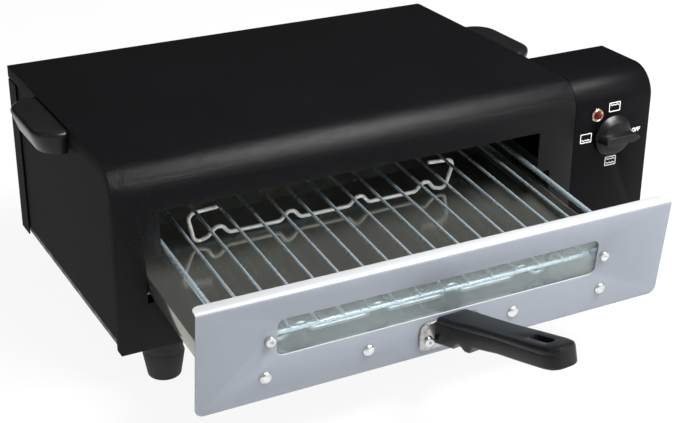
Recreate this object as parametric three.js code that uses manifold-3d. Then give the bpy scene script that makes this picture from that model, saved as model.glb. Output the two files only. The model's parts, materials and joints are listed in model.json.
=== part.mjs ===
// Electric tandoor: a black sheet-metal grill oven with a pull-out tray drawer, a lift-off wire
// grill on two skewer rests, and a control box with a heater selector on its right.
// Millimetres, +Z up. The body is laid out from its front left lower corner, with X along the
// front, Y to the back and Z up, and the finished group is moved to its origin at the end.

import * as THREE from 'three';
import { mergeVertices } from 'three/addons/utils/BufferGeometryUtils.js';
import Module from 'manifold-3d';

const wasm = await Module();
wasm.setup();

// Driving sizes of the casing
const BODY_WIDTH = 360;
const BODY_DEPTH = 228;
const BODY_HEIGHT = 133;
const SHEET = 1;
const BEND = 22;
const GAP = 0.3;
const OVERRUN = 2;
const FRONT_FLANGE = 9;
const BACK_FLANGE = 18;
const SIDE_LIFT = 6;
const BASE_LIP = 9;

// The stepped drawer opening in the front sheet
const OPENING_DROP = 33.5;
const OPENING_TOP = BODY_HEIGHT - OPENING_DROP;
const OPENING_STEP = 68;
const OPENING_BOTTOM = 35;
const TRAY_SIDE_PLAY = 1.5;
const GRILL_SIDE_PLAY = 1.2;

// Control box
const CONTROL_WIDTH = 70;
const CONTROL_DEPTH = 63;
const DIAL_DROP = 46.6;
const DIAL_HEIGHT = BODY_HEIGHT - DIAL_DROP;
const DIAL_INSET = 35;
const LAMP_DROP = 28.5;
const LAMP_HEIGHT = BODY_HEIGHT - LAMP_DROP;
const LAMP_INSET = 20;

// Feet and their screws
const FOOT_HEIGHT = 29.5;
const FOOT_RADIUS = 14.5;
const FOOT_NECK_RADIUS = 10.5;
const FOOT_SOLE_RADIUS = 11.6;
const FOOT_NECK_HEIGHT = 12;
const FOOT_SHOULDER = 3.2;
const FOOT_INSET_X = 34.5;
const FOOT_INSET_Y = 14.5;
const FOOT_WELL_RADIUS = 5.4;
const FOOT_WALL = 8;

// Small screws: shank and pan head
const SCREW_RADIUS = 1.9;
const SCREW_HEAD_RADIUS = 3.5;
const SCREW_HEAD_HEIGHT = 2.4;
const NUT_RADIUS = 3.4;
const NUT_HEIGHT = 1;

// Carrying handles on the sides
const GRIP_CENTRE_Y = 121;
const GRIP_DROP = 1.5;
const GRIP_TOP = BODY_HEIGHT - GRIP_DROP;
const GRIP_HEIGHT = 16.5;
const GRIP_LENGTH = 80;
const GRIP_REACH = 23.5;
const GRIP_CORNER = 20;
const GRIP_FOOT_SHARE = 0.74;
const GRIP_WALL = 3;
const GRIP_SCREW_DROP = 12;
const GRIP_SCREW_HEIGHT = GRIP_TOP - GRIP_SCREW_DROP;
const GRIP_SCREW_PITCH = 46;

// Drawer, in its own axes: X along its front, Y back from the panel's face, Z up from its lower edge
const RUNNER_SLOPE = THREE.MathUtils.degToRad(6);
const PANEL_MARGIN = 6.25;
const PANEL_WIDTH = BODY_WIDTH - 2 * PANEL_MARGIN;
const PANEL_HEIGHT = 74.5;
const PANEL_CORNER = 6;
const LIP_DEPTH = 9;
const LIP_BEND = 3;
const PANEL_REST_HEIGHT = 14.5;
const CLOSED_GAP = 0.5;
const DRAWER_OUT = 110.6;
const TRAY_INSET = 15.75;
const TRAY_WIDTH = PANEL_WIDTH - 2 * TRAY_INSET;
const TRAY_LENGTH = 214;
const TRAY_BOTTOM = 13.5;
const TRAY_WALL_HEIGHT = 13;
const TRAY_SHEET = 0.9;

// Window slot, its glass and the rivets of the panel
const WINDOW_WIDTH = 237;
const WINDOW_LOW = 30.3;
const WINDOW_HIGH = 56.5;
const WINDOW_CORNER = 5;
const GLASS_OVERLAP = 12.5;
const GLASS_WIDTH = WINDOW_WIDTH + 2 * GLASS_OVERLAP;
const GLASS_THICKNESS = 2;
const GLASS_MARGIN = 2.8;
const WINDOW_SCREW_MARGIN = 5;
const WINDOW_SCREW_SPACING = WINDOW_WIDTH + 2 * WINDOW_SCREW_MARGIN;
const RIVET_INSET = 32.5;
const RIVET_PITCH_OUTER = TRAY_WIDTH - 2 * RIVET_INSET;
const RIVET_PITCH_INNER = 108.5;
const RIVET_HEIGHT = 16.6;
const RIVET_RADIUS = 1.6;
const RIVET_HEAD_RADIUS = 4.2;
const RIVET_HEAD_HEIGHT = 2;
const RIVET_TAIL_RADIUS = 1.9;
const RIVET_TAIL_HEIGHT = 1;
const FITTINGS_SHIFT = -2.4;

// Pull handle and its bracket
const HANDLE_RISE = THREE.MathUtils.degToRad(21);
const HANDLE_SWING = THREE.MathUtils.degToRad(5);
const HANDLE_LENGTH = 114;
const HANDLE_WIDTH = 23;
const HANDLE_ROOT_HEIGHT = 19.4;
const HANDLE_OFFSET_X = 2.3;
const HANDLE_ROOT_TOP = 29.4;
const HANDLE_CHAMFER = 2;
const HANDLE_SLOT_LENGTH = 19;
const HANDLE_SLOT_WIDTH = 7;
const HANDLE_SLOT_INSET = 22;
// Along the handle: [share of its length, share of its width, share of its root height]
const HANDLE_STATION_SHARES = [
  [-0.12, 1, 1], [0.13, 1, 1], [0.18, 0.97, 0.8], [0.21, 0.95, 0.8], [0.24, 0.93, 1], [0.27, 0.92, 1],
  [0.29, 0.9, 0.78], [0.5, 0.85, 0.74], [0.72, 0.93, 0.73], [0.92, 0.96, 0.72], [0.97, 0.8, 0.7],
  [1, 0.46, 0.66],
];
const BRACKET_WIDTH = 44.6;
const BRACKET_SCREW_PITCH = 32;
const BRACKET_SCREW_HEIGHT = 12.6;
const BRACKET_HEIGHT = 21;
const BRACKET_LOW = 5.5;
const BRACKET_CORNER = 5;
const BRACKET_SHEET = 1.5;
const TANG_WIDTH = 12;
const TANG_LENGTH = 26;
const TANG_THICKNESS = 2.5;
const TANG_HEIGHT = 17;

// Wire grill and the two skewer rests below it
const GRILL_HEIGHT = 45;
const GRILL_INSET = 12.5;
const GRILL_WIDTH = TRAY_WIDTH - 2 * GRILL_INSET;
const GRILL_FRONT = 5.4;
const GRILL_LENGTH = 200;
const GRILL_WIRES = 17;
const WIRE_RADIUS = 1.1;
const FRAME_WIRE_RADIUS = 1.9;
const CROSSBAR_INSET = 1.9;
const CROSSBAR_DROP = 2.3;
const REST_RADIUS = 1.5;
const REST_HALF_WIDTH = 108;
const REST_FOOT_HALF_WIDTH = 102;
const REST_TURN_IN = 23;
const REST_FRONT_Y = 32;
const REST_REAR_Y = 160;
const REST_HUMP_PITCH = 56;
const REST_HUMP_HEIGHT = 6.5;
const REST_RUN_LIFT = 3;
const REST_SHIFT = -5;
const REST_END_DROP = 1.5;
const HUMP_COUNT = 4;
const HUMP_FOOT = 8;
const HUMP_CROWN = 2.5;
const HUMP_RINGS = 2;
const REST_BEND = 5;
const HUMP_BEND = 3;

// Heating elements, their carriers and reflectors
const ELEMENT_RADIUS = 3.4;
const ELEMENT_BEND = 16;
const ELEMENT_DROP = 21;
const ELEMENT_TOP_HEIGHT = BODY_HEIGHT - ELEMENT_DROP;
const ELEMENT_LOW_HEIGHT = 22;
const ELEMENT_FRONT_Y = 28;
const ELEMENT_TERMINAL_PITCH = 20;
const ELEMENT_LOOP_DEPTH = 150;
const ELEMENT_SIDE_MARGIN = 38;
const ELEMENT_INNER_SETBACK = 48;
const TERMINAL_REACH = 9;
const BLOCK_MARGIN = 4.5;
const BLOCK_LENGTH = 12;
const BLOCK_FLANGE = 3;
const BLOCK_FLANGE_THICKNESS = 3;
const STRAP_WIDTH = 12;
const STRAP_SHEET = 1.2;
const STRAP_INSET = 78;
const STRAP_MARGIN = 12;
const REFLECTOR_SHEET = 0.7;
const REFLECTOR_LIP = 7;
const REFLECTOR_MARGIN = 5;
const RUNNER_SHELF = 9;
const RUNNER_HEIGHT = 16;

// Selector switch and knob
const SWITCH_SIZE = 26;
const SWITCH_DEPTH = 28;
const SWITCH_BUSH_RADIUS = 4.8;
const SWITCH_NUT_RADIUS = 7.5;
const SWITCH_NUT_HEIGHT = 2;
const SHAFT_RADIUS = 3;
const SHAFT_INSIDE = 18;
const SHAFT_OUTSIDE = 9;
const KNOB_RADIUS = 16.2;
const KNOB_SKIRT = 2.6;
const KNOB_CROWN_RADIUS = 13;
const KNOB_CROWN = 7.5;
const KNOB_HEIGHT = 13.5;
const KNOB_BAR_WIDTH = 8.5;
const KNOB_POINTER = 1.4;
const KNOB_CLEARANCE = 0.6;

// Pilot lamp, cord bush and inner leads
const LAMP_RADIUS = 5.2;
const LAMP_LENS_RADIUS = 3.3;
const LAMP_BARREL_RADIUS = 4.3;
const LAMP_RIM = 1.6;
const LAMP_BARREL = 9;
const LAMP_DOME = 2.2;
const LAMP_BODY_LENGTH = 18;
const CORD_BUSH_RADIUS = 7;
const CORD_BUSH_BORE = 3.7;
const CORD_BUSH_RIM = 2;
const CORD_BUSH_HEIGHT = 28;
const LEAD_RADIUS = 1.4;
const LEAD_BEND = 5;

// Vent slots in the back panel
const VENT_COLUMNS = 8;
const VENT_ROWS = 2;
const VENT_LENGTH = 22;
const VENT_WIDTH = 3.5;
const VENT_PITCH_X = 34;
const VENT_PITCH_Z = 12;
const VENT_DROP = 37;
const VENT_HEIGHT = BODY_HEIGHT - VENT_DROP;

// Facet counts
const ROUND_SIDES = 24;
const SMALL_SIDES = 12;
const ROD_SIDES = 8;
const WIRE_SIDES = 6;
const BEND_RINGS = 4;
const ARC_STEPS = 8;

// Sizes that follow from the ones above
const BODY_CENTRE_X = BODY_WIDTH / 2;
const FULL_WIDTH = BODY_WIDTH + CONTROL_WIDTH;
const PANEL_CENTRE = PANEL_WIDTH / 2;
const TRAY_TOP = TRAY_BOTTOM + TRAY_WALL_HEIGHT;
const TRAY_FRONT = SHEET + GAP;
const TRAY_FLOOR = TRAY_BOTTOM + TRAY_SHEET;
const SIDES = ['left', 'right'];
const DIAL_X = BODY_WIDTH + DIAL_INSET;
const LAMP_X = BODY_WIDTH + LAMP_INSET;

// Solid work

/** The geometry with shared corners and its faces turned outwards. */
function facedOut(geometry) {
  const bare = geometry.clone();
  bare.deleteAttribute('normal');
  bare.deleteAttribute('uv');
  const merged = mergeVertices(bare);
  const index = merged.index.array;
  const corners = [0, 1, 2].map(() => new THREE.Vector3());
  let volume = 0;
  for (let i = 0; i < index.length; i += 3) {
    corners.forEach((corner, j) => corner.fromBufferAttribute(merged.attributes.position, index[i + j]));
    volume += corners[0].dot(corners[1].clone().cross(corners[2]));
  }
  for (let i = 0; volume < 0 && i < index.length; i += 3) {
    [index[i], index[i + 1]] = [index[i + 1], index[i]];
  }
  merged.computeVertexNormals();
  return merged;
}

/** The closed solid of a geometry. */
function solidOf(geometry) {
  const merged = facedOut(geometry);
  return new wasm.Manifold(new wasm.Mesh({
    numProp: 3,
    vertProperties: new Float32Array(merged.attributes.position.array),
    triVerts: new Uint32Array(merged.index.array),
  }));
}

/** The geometry of a solid. */
function geometryOf(solid) {
  const mesh = solid.getMesh();
  const geometry = new THREE.BufferGeometry();
  geometry.setAttribute('position', new THREE.BufferAttribute(mesh.vertProperties, 3));
  geometry.setIndex(new THREE.BufferAttribute(mesh.triVerts, 1));
  geometry.computeVertexNormals();
  return geometry;
}

/** One geometry less all the others. */
function cut(base, ...tools) {
  return geometryOf(tools.reduce((solid, tool) => solid.subtract(solidOf(tool)), solidOf(base)));
}

/** All geometries as one. */
function join(...parts) {
  return geometryOf(parts.map(solidOf).reduce((solid, other) => solid.add(other)));
}

/** A block between two limits on each axis. */
function block(x0, x1, y0, y1, z0, z1) {
  const geometry = new THREE.BoxGeometry(x1 - x0, y1 - y0, z1 - z0);
  return geometry.translate((x0 + x1) / 2, (y0 + y1) / 2, (z0 + z1) / 2);
}

/** An outline pulled along Z from 0. */
function pulled(shape, depth, curveSegments = ARC_STEPS) {
  return new THREE.ExtrudeGeometry(shape, { depth, bevelEnabled: false, curveSegments });
}

/** A (y, z) outline pulled along X. */
function alongX(shape, x0, x1) {
  const turn = new THREE.Matrix4().makeBasis(
    new THREE.Vector3(0, 1, 0), new THREE.Vector3(0, 0, 1), new THREE.Vector3(1, 0, 0));
  return pulled(shape, x1 - x0).applyMatrix4(turn).translate(x0, 0, 0);
}

/** An (x, z) outline pulled along Y. */
function alongY(shape, y0, y1) {
  return pulled(shape, y1 - y0).rotateX(Math.PI / 2).translate(0, y1, 0);
}

/** A turned piece about the vertical through (x, y), from [radius, height] pairs. */
function turnedUp(profile, x, y, z, sides = ROUND_SIDES) {
  const points = profile.map(([radius, height]) => new THREE.Vector2(radius, height));
  return new THREE.LatheGeometry(points, sides).rotateX(Math.PI / 2).translate(x, y, z);
}

/** A turned piece about a line along Y, from [radius, distance towards the front] pairs. */
function turnedForward(profile, x, y, z, sides = ROUND_SIDES) {
  const points = profile.map(([radius, height]) => new THREE.Vector2(radius, height));
  return new THREE.LatheGeometry(points, sides).rotateX(Math.PI).translate(x, y, z);
}

/** A turned piece about a line along X, from [radius, distance to the right] pairs. */
function turnedRight(profile, x, y, z, sides = ROUND_SIDES) {
  const points = profile.map(([radius, height]) => new THREE.Vector2(radius, height));
  return new THREE.LatheGeometry(points, sides).rotateZ(-Math.PI / 2).translate(x, y, z);
}

/** The profile of a plain cylinder between two heights. */
function disc(radius, low, high) {
  return [[0, low], [radius, low], [radius, high], [0, high]];
}

/** The profile of a pan-head screw, its shank down from height 0 and its head above it. */
function screwProfile(shank, radius = SCREW_RADIUS, head = SCREW_HEAD_RADIUS, height = SCREW_HEAD_HEIGHT) {
  const crown = height / 3;
  return [[0, -shank], [radius, -shank], [radius, 0], [head, 0], [head, height - crown],
    [head - crown, height], [0, height]];
}

/** A closed skin through rings of equally many points, each ring convex. */
function loft(rings) {
  const count = rings[0].length;
  const positions = rings.flat().flatMap((point) => point.toArray());
  const index = [];
  for (let ring = 0; ring + 1 < rings.length; ring += 1) {
    for (let i = 0; i < count; i += 1) {
      const a = ring * count + i;
      const b = ring * count + (i + 1) % count;
      index.push(a, b, b + count, a, b + count, a + count);
    }
  }
  const last = (rings.length - 1) * count;
  for (let i = 1; i + 1 < count; i += 1) {
    index.push(0, i + 1, i, last, last + i, last + i + 1);
  }
  const geometry = new THREE.BufferGeometry();
  geometry.setAttribute('position', new THREE.Float32BufferAttribute(positions, 3));
  geometry.setIndex(index);
  geometry.computeVertexNormals();
  return geometry;
}

/** A rectangle with round corners. */
function roundedRectangle(x0, x1, z0, z1, radius) {
  const shape = new THREE.Shape();
  shape.moveTo(x0 + radius, z0);
  shape.lineTo(x1 - radius, z0);
  shape.absarc(x1 - radius, z0 + radius, radius, -Math.PI / 2, 0, false);
  shape.lineTo(x1, z1 - radius);
  shape.absarc(x1 - radius, z1 - radius, radius, 0, Math.PI / 2, false);
  shape.lineTo(x0 + radius, z1);
  shape.absarc(x0 + radius, z1 - radius, radius, Math.PI / 2, Math.PI, false);
  shape.lineTo(x0, z0 + radius);
  shape.absarc(x0 + radius, z0 + radius, radius, Math.PI, 1.5 * Math.PI, false);
  return shape;
}

/** A rod's centre line: straight runs joined by round bends, with rings only at ends and bends. */
class RodPath extends THREE.Curve {
  constructor(corners, bend, rings = BEND_RINGS) {
    super();
    const points = corners.map((corner) => new THREE.Vector3(...corner));
    this.stations = [];
    points.forEach((point, i) => {
      if (i === 0 || i === points.length - 1) {
        const other = points[i === 0 ? 1 : i - 1];
        const tangent = i === 0 ? other.clone().sub(point) : point.clone().sub(other);
        this.stations.push({ point, tangent: tangent.normalize() });
      } else {
        this.addBend(points[i - 1], point, points[i + 1], Array.isArray(bend) ? bend[i] : bend, rings);
      }
    });
  }

  addBend(before, corner, after, bend, rings) {
    const into = corner.clone().sub(before).normalize();
    const out = after.clone().sub(corner).normalize();
    const angle = into.angleTo(out);
    const reach = bend * Math.tan(angle / 2);
    const start = corner.clone().addScaledVector(into, -reach);
    const side = out.clone().addScaledVector(into, -out.dot(into)).normalize();
    for (let i = 0; i <= rings; i += 1) {
      const turned = angle * i / rings;
      const point = start.clone()
        .addScaledVector(into, bend * Math.sin(turned))
        .addScaledVector(side, bend * (1 - Math.cos(turned)));
      const tangent = into.clone().multiplyScalar(Math.cos(turned)).addScaledVector(side, Math.sin(turned));
      this.stations.push({ point, tangent });
    }
  }

  get steps() {
    return this.stations.length - 1;
  }

  getPointAt(share) {
    return this.stations[Math.round(share * this.steps)].point.clone();
  }

  getPoint(share) {
    return this.getPointAt(share);
  }

  getTangentAt(share) {
    return this.stations[Math.round(share * this.steps)].tangent.clone();
  }
}

/** A round rod along a path of corners. */
function rod(corners, radius, bend = 0, sides = ROD_SIDES, rings = BEND_RINGS) {
  const path = new RodPath(corners, bend, rings);
  const section = new THREE.Shape();
  for (let i = 0; i < sides; i += 1) {
    const angle = 2 * Math.PI * (i + 0.5) / sides;
    const place = [radius * Math.cos(angle), radius * Math.sin(angle)];
    if (i === 0) {
      section.moveTo(...place);
    } else {
      section.lineTo(...place);
    }
  }
  return new THREE.ExtrudeGeometry(section, { steps: path.steps, bevelEnabled: false, extrudePath: path });
}

// Materials, as they look on the object
const FINISHES = {
  blackPaint: { color: 0x17171a, roughness: 0.5, metalness: 0.2 },
  blackPlastic: { color: 0x0c0c0d, roughness: 0.25, metalness: 0 },
  rubber: { color: 0x1c1b1c, roughness: 0.8, metalness: 0 },
  aluminium: { color: 0xb4b9c2, roughness: 0.35, metalness: 0.9 },
  polishedSteel: { color: 0x8d8b80, roughness: 0.15, metalness: 1 },
  zincWire: { color: 0x9fb0ba, roughness: 0.3, metalness: 0.9 },
  brightSteel: { color: 0xd8d9d6, roughness: 0.2, metalness: 1 },
  galvanised: { color: 0x9a9d9e, roughness: 0.45, metalness: 0.8 },
  elementSheath: { color: 0x3c3b3a, roughness: 0.5, metalness: 0.6 },
  ceramic: { color: 0xe8e2d4, roughness: 0.6, metalness: 0 },
  brass: { color: 0xc9a557, roughness: 0.25, metalness: 1 },
  redLens: { color: 0xb01a12, roughness: 0.1, metalness: 0 },
  glass: { color: 0xcfd8d8, roughness: 0.05, metalness: 0, transparent: true, opacity: 0.35 },
  brownPlastic: { color: 0x4a3a2a, roughness: 0.5, metalness: 0 },
};

/** A named piece with its own material. */
function piece(name, geometry, finish) {
  const mesh = new THREE.Mesh(facedOut(geometry), new THREE.MeshStandardMaterial(FINISHES[finish]));
  mesh.name = name;
  return mesh;
}

// Casing

/** The side outline of the casing, set in by a margin, its front top corner round. */
function sideOutline(depth, inset, low = inset, high = BODY_HEIGHT - inset) {
  const radius = BEND - inset;
  const shape = new THREE.Shape();
  shape.moveTo(inset, low);
  shape.lineTo(depth - inset, low);
  shape.lineTo(depth - inset, high);
  shape.lineTo(inset + radius, high);
  shape.absarc(inset + radius, high - radius, radius, Math.PI / 2, Math.PI, false);
  shape.lineTo(inset, low);
  return shape;
}

/** A tool that cuts the front sheet, centred on the casing's width. */
function frontCut(half, low, high) {
  return block(BODY_CENTRE_X - half, BODY_CENTRE_X + half, -OVERRUN, SHEET + OVERRUN, low, high);
}

/** Front and top in one bent sheet, with flanges round the sides and the stepped opening. */
function frontTopSheet() {
  const outside = alongX(sideOutline(BODY_DEPTH, 0), 0, BODY_WIDTH);
  const inner = sideOutline(BODY_DEPTH + BEND, SHEET, -OVERRUN);
  const inside = alongX(inner, SHEET, BODY_WIDTH - SHEET);
  const flangeInner = sideOutline(BODY_DEPTH + BEND, FRONT_FLANGE, -OVERRUN);
  const sideCut = alongX(flangeInner, -OVERRUN, BODY_WIDTH + OVERRUN);
  const trayHalf = TRAY_WIDTH / 2 + TRAY_SIDE_PLAY;
  const grillHalf = GRILL_WIDTH / 2 + FRAME_WIRE_RADIUS + GRILL_SIDE_PLAY;
  const lower = frontCut(trayHalf, OPENING_BOTTOM, OPENING_STEP);
  const upper = frontCut(grillHalf, OPENING_BOTTOM, OPENING_TOP);
  return piece('front_top_sheet', cut(outside, inside, sideCut, lower, upper), 'blackPaint');
}

/** The sheet closing one side, behind the front sheet's flange. */
function sidePanel(name, left, cuts) {
  const inset = SHEET + GAP;
  const outline = sideOutline(BODY_DEPTH, inset, SIDE_LIFT);
  const x0 = left ? inset : BODY_WIDTH - inset - SHEET;
  const plate = alongX(outline, x0, x0 + SHEET);
  return piece(name, cut(plate, ...cuts), 'blackPaint');
}

/** The back, with a flange forward over each side and two rows of vents. */
function backPanel() {
  const y0 = BODY_DEPTH - SHEET;
  const top = BODY_HEIGHT - SHEET - GAP;
  const lower = block(0, BODY_WIDTH, y0, BODY_DEPTH, 0, top - FRONT_FLANGE);
  const upper = block(SHEET + GAP, BODY_WIDTH - SHEET - GAP, y0, BODY_DEPTH, 0, top);
  const flanges = [0, BODY_WIDTH - SHEET].map((x) => block(
    x, x + SHEET, BODY_DEPTH - BACK_FLANGE, BODY_DEPTH, 0, top - FRONT_FLANGE));
  const vents = [];
  for (let row = 0; row < VENT_ROWS; row += 1) {
    for (let column = 0; column < VENT_COLUMNS; column += 1) {
      const x = BODY_CENTRE_X + (column - (VENT_COLUMNS - 1) / 2) * VENT_PITCH_X;
      const z = VENT_HEIGHT + row * VENT_PITCH_Z;
      vents.push(block(x - VENT_LENGTH / 2, x + VENT_LENGTH / 2, y0 - OVERRUN, BODY_DEPTH + OVERRUN,
        z - VENT_WIDTH / 2, z + VENT_WIDTH / 2));
    }
  }
  return piece('back_panel', cut(join(lower, upper, ...flanges), ...vents), 'blackPaint');
}

/** The centres of the four feet. */
function footPlaces() {
  const places = {};
  for (const [side, x] of [['left', FOOT_INSET_X], ['right', BODY_WIDTH - FOOT_INSET_X]]) {
    places[`front_${side}`] = [x, FOOT_INSET_Y];
    places[`rear_${side}`] = [x, BODY_DEPTH - FOOT_INSET_Y];
  }
  return places;
}

/** The floor sheet, its sides turned up inside the side panels. */
function bottomPlate() {
  const x0 = 2 * (SHEET + GAP);
  const x1 = BODY_WIDTH - x0;
  const y0 = SHEET + GAP;
  const y1 = BODY_DEPTH - y0;
  const plate = block(x0, x1, y0, y1, 0, SHEET);
  const leftLip = block(x0, x0 + SHEET, y0, y1, 0, BASE_LIP);
  const rightLip = block(x1 - SHEET, x1, y0, y1, 0, BASE_LIP);
  const drill = disc(SCREW_RADIUS + GAP, -OVERRUN, SHEET + OVERRUN);
  const holes = Object.values(footPlaces()).map(([x, y]) => turnedUp(drill, x, y, 0, SMALL_SIDES));
  return piece('bottom_plate', cut(join(plate, leftLip, rightLip), ...holes), 'galvanised');
}

/** A tapered rubber foot with a screw well from below, and its screw. */
function foot(place, [x, y]) {
  const low = -FOOT_HEIGHT;
  const hole = SCREW_RADIUS + GAP;
  const wellTop = -FOOT_WALL;
  const body = turnedUp([[hole, -GAP], [hole, wellTop], [FOOT_WELL_RADIUS, wellTop], [FOOT_WELL_RADIUS, low],
    [FOOT_SOLE_RADIUS, low], [FOOT_RADIUS, -FOOT_NECK_HEIGHT - FOOT_SHOULDER],
    [FOOT_NECK_RADIUS, -FOOT_NECK_HEIGHT], [FOOT_NECK_RADIUS, -GAP], [hole, -GAP]], x, y, 0);
  const shank = FOOT_WALL + SHEET + OVERRUN;
  const headDown = screwProfile(shank).map(([radius, height]) => [radius, -height]);
  const screw = turnedUp(headDown, x, y, wellTop - GAP, SMALL_SIDES);
  return [piece(`foot_${place}`, body, 'rubber'), piece(`foot_screw_${place}`, screw, 'brightSteel')];
}

/** A screw along X through a side panel, its head inside; with clearance it is the hole's tool. */
function gripScrew(side, y, clearance) {
  const shank = 2 * SHEET + GRIP_WALL;
  const profile = clearance > 0
    ? disc(SCREW_RADIUS + clearance, -shank - clearance, GAP)
    : screwProfile(shank);
  const geometry = turnedRight(profile, 0, 0, 0, SMALL_SIDES);
  const inset = 2 * (SHEET + GAP);
  if (side === 'right') {
    geometry.rotateZ(Math.PI);
  }
  return geometry.translate(side === 'left' ? inset : BODY_WIDTH - inset, y, GRIP_SCREW_HEIGHT);
}

/** One ring of a side handle: its plan outline at a height, drawn out from the wall. */
function gripRing(side, z, base, reach, half) {
  const places = [[base, -half]];
  const corner = Math.min(GRIP_CORNER, reach - GRIP_WALL);
  for (let i = 0; i <= BEND_RINGS; i += 1) {
    const turned = Math.PI / 2 * i / BEND_RINGS;
    places.push([reach - corner + corner * Math.sin(turned), -half + corner - corner * Math.cos(turned)]);
  }
  const mirrored = places.slice().reverse().map(([out, y]) => [out, -y]);
  const outward = side === 'left' ? -1 : 1;
  const wall = side === 'left' ? 0 : BODY_WIDTH;
  const points = [...places, ...mirrored].map(
    ([out, y]) => new THREE.Vector3(wall + outward * out, GRIP_CENTRE_Y + y, z));
  return side === 'left' ? points.reverse() : points;
}

/** One cup handle, open below for the fingers, with the two screws that hold it. */
function sideGrip(side) {
  const half = GRIP_LENGTH / 2;
  const low = GRIP_TOP - GRIP_HEIGHT;
  const reachLow = GRIP_REACH * GRIP_FOOT_SHARE;
  const outside = loft([
    gripRing(side, low, GAP, reachLow, half - GRIP_WALL),
    gripRing(side, GRIP_TOP - GRIP_WALL, GAP, GRIP_REACH, half),
    gripRing(side, GRIP_TOP, GAP, GRIP_REACH - SHEET, half - SHEET)]);
  const inside = loft([
    gripRing(side, low - OVERRUN, GAP + GRIP_WALL, reachLow - GRIP_WALL, half - 2 * GRIP_WALL),
    gripRing(side, GRIP_TOP - GRIP_WALL, GAP + GRIP_WALL, GRIP_REACH - GRIP_WALL, half - GRIP_WALL)]);
  const places = [GRIP_CENTRE_Y - GRIP_SCREW_PITCH / 2, GRIP_CENTRE_Y + GRIP_SCREW_PITCH / 2];
  const grip = cut(outside, inside, ...places.map((y) => gripScrew(side, y, GAP)));
  return [
    piece(`side_handle_${side}`, grip, 'blackPlastic'),
    piece(`side_handle_screw_${side}_front`, gripScrew(side, places[0], 0), 'brightSteel'),
    piece(`side_handle_screw_${side}_rear`, gripScrew(side, places[1], 0), 'brightSteel'),
  ];
}

/** The holes in a side panel for its handle's screws. */
function gripHoles(side) {
  return [-1, 1].map((way) => gripScrew(side, GRIP_CENTRE_Y + way * GRIP_SCREW_PITCH / 2, GAP));
}

/** A point of the drawer's axes, with the drawer closed, as [y, z] of the casing. */
function closedPoint(y, z) {
  const originY = -CLOSED_GAP - SHEET * Math.cos(RUNNER_SLOPE);
  const originZ = PANEL_REST_HEIGHT + DRAWER_OUT * Math.sin(RUNNER_SLOPE);
  return [
    originY + y * Math.cos(RUNNER_SLOPE) - z * Math.sin(RUNNER_SLOPE),
    originZ + y * Math.sin(RUNNER_SLOPE) + z * Math.cos(RUNNER_SLOPE),
  ];
}

/** One sloping runner: a web on the side panel, a ledge under the tray's edge and a guide beside it. */
function runner(side) {
  const lean = (RUNNER_HEIGHT + TRAY_BOTTOM) * Math.sin(RUNNER_SLOPE);
  const front = SHEET + OVERRUN + lean + CLOSED_GAP + SHEET;
  const back = BODY_DEPTH - SHEET - OVERRUN;
  const top = TRAY_BOTTOM - GAP;
  const wall = 2 * (SHEET + GAP);
  const guide = BODY_CENTRE_X - TRAY_WIDTH / 2 - TRAY_SIDE_PLAY - SHEET;
  const ledgeEnd = guide + SHEET + RUNNER_SHELF;
  const geometry = join(
    block(wall, wall + SHEET, front, back, top - SHEET, top + RUNNER_HEIGHT),
    block(wall, ledgeEnd, front, back, top - SHEET, top),
    block(guide, guide + SHEET, front, back, top - SHEET, top + TRAY_WALL_HEIGHT));
  const [y, z] = closedPoint(0, 0);
  geometry.rotateX(RUNNER_SLOPE).translate(0, y, z);
  return piece(`drawer_runner_${side}`, side === 'left' ? geometry : mirrored(geometry), 'galvanised');
}

/** The same geometry on the other side of the casing. */
function mirrored(geometry) {
  return geometry.clone().scale(-1, 1, 1).translate(BODY_WIDTH, 0, 0);
}

// Control box

/** A round tool that drills a sheet along Y, its front face at a place. */
function sheetDrill(radius, x, y, z) {
  return turnedForward(disc(radius + GAP, -SHEET - OVERRUN, OVERRUN), x, y, z);
}

/** Front, top and right side of the control box in one sheet, holed for the switch and the lamp. */
function controlCover() {
  const x0 = BODY_WIDTH + GAP;
  const outside = alongX(sideOutline(CONTROL_DEPTH, 0), x0, FULL_WIDTH);
  const inner = sideOutline(CONTROL_DEPTH + BEND, SHEET, -OVERRUN);
  const inside = alongX(inner, x0 - OVERRUN, FULL_WIDTH - SHEET);
  const shaftHole = sheetDrill(SWITCH_BUSH_RADIUS, DIAL_X, 0, DIAL_HEIGHT);
  const lampHole = sheetDrill(LAMP_BARREL_RADIUS, LAMP_X, 0, LAMP_HEIGHT);
  return piece('control_cover', cut(outside, inside, shaftHole, lampHole), 'blackPaint');
}

/** Back and floor of the control box in one bent sheet, holed for the cord's bush. */
function controlBack() {
  const x0 = BODY_WIDTH + GAP;
  const x1 = FULL_WIDTH - SHEET - GAP;
  const back = block(x0, x1, CONTROL_DEPTH - SHEET, CONTROL_DEPTH, 0, BODY_HEIGHT - SHEET - GAP);
  const floor = block(x0, x1, SHEET + GAP, CONTROL_DEPTH, 0, SHEET);
  const hole = sheetDrill(CORD_BUSH_RADIUS, DIAL_X, CONTROL_DEPTH - SHEET, CORD_BUSH_HEIGHT);
  return piece('control_back', cut(join(back, floor), hole), 'blackPaint');
}

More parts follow.
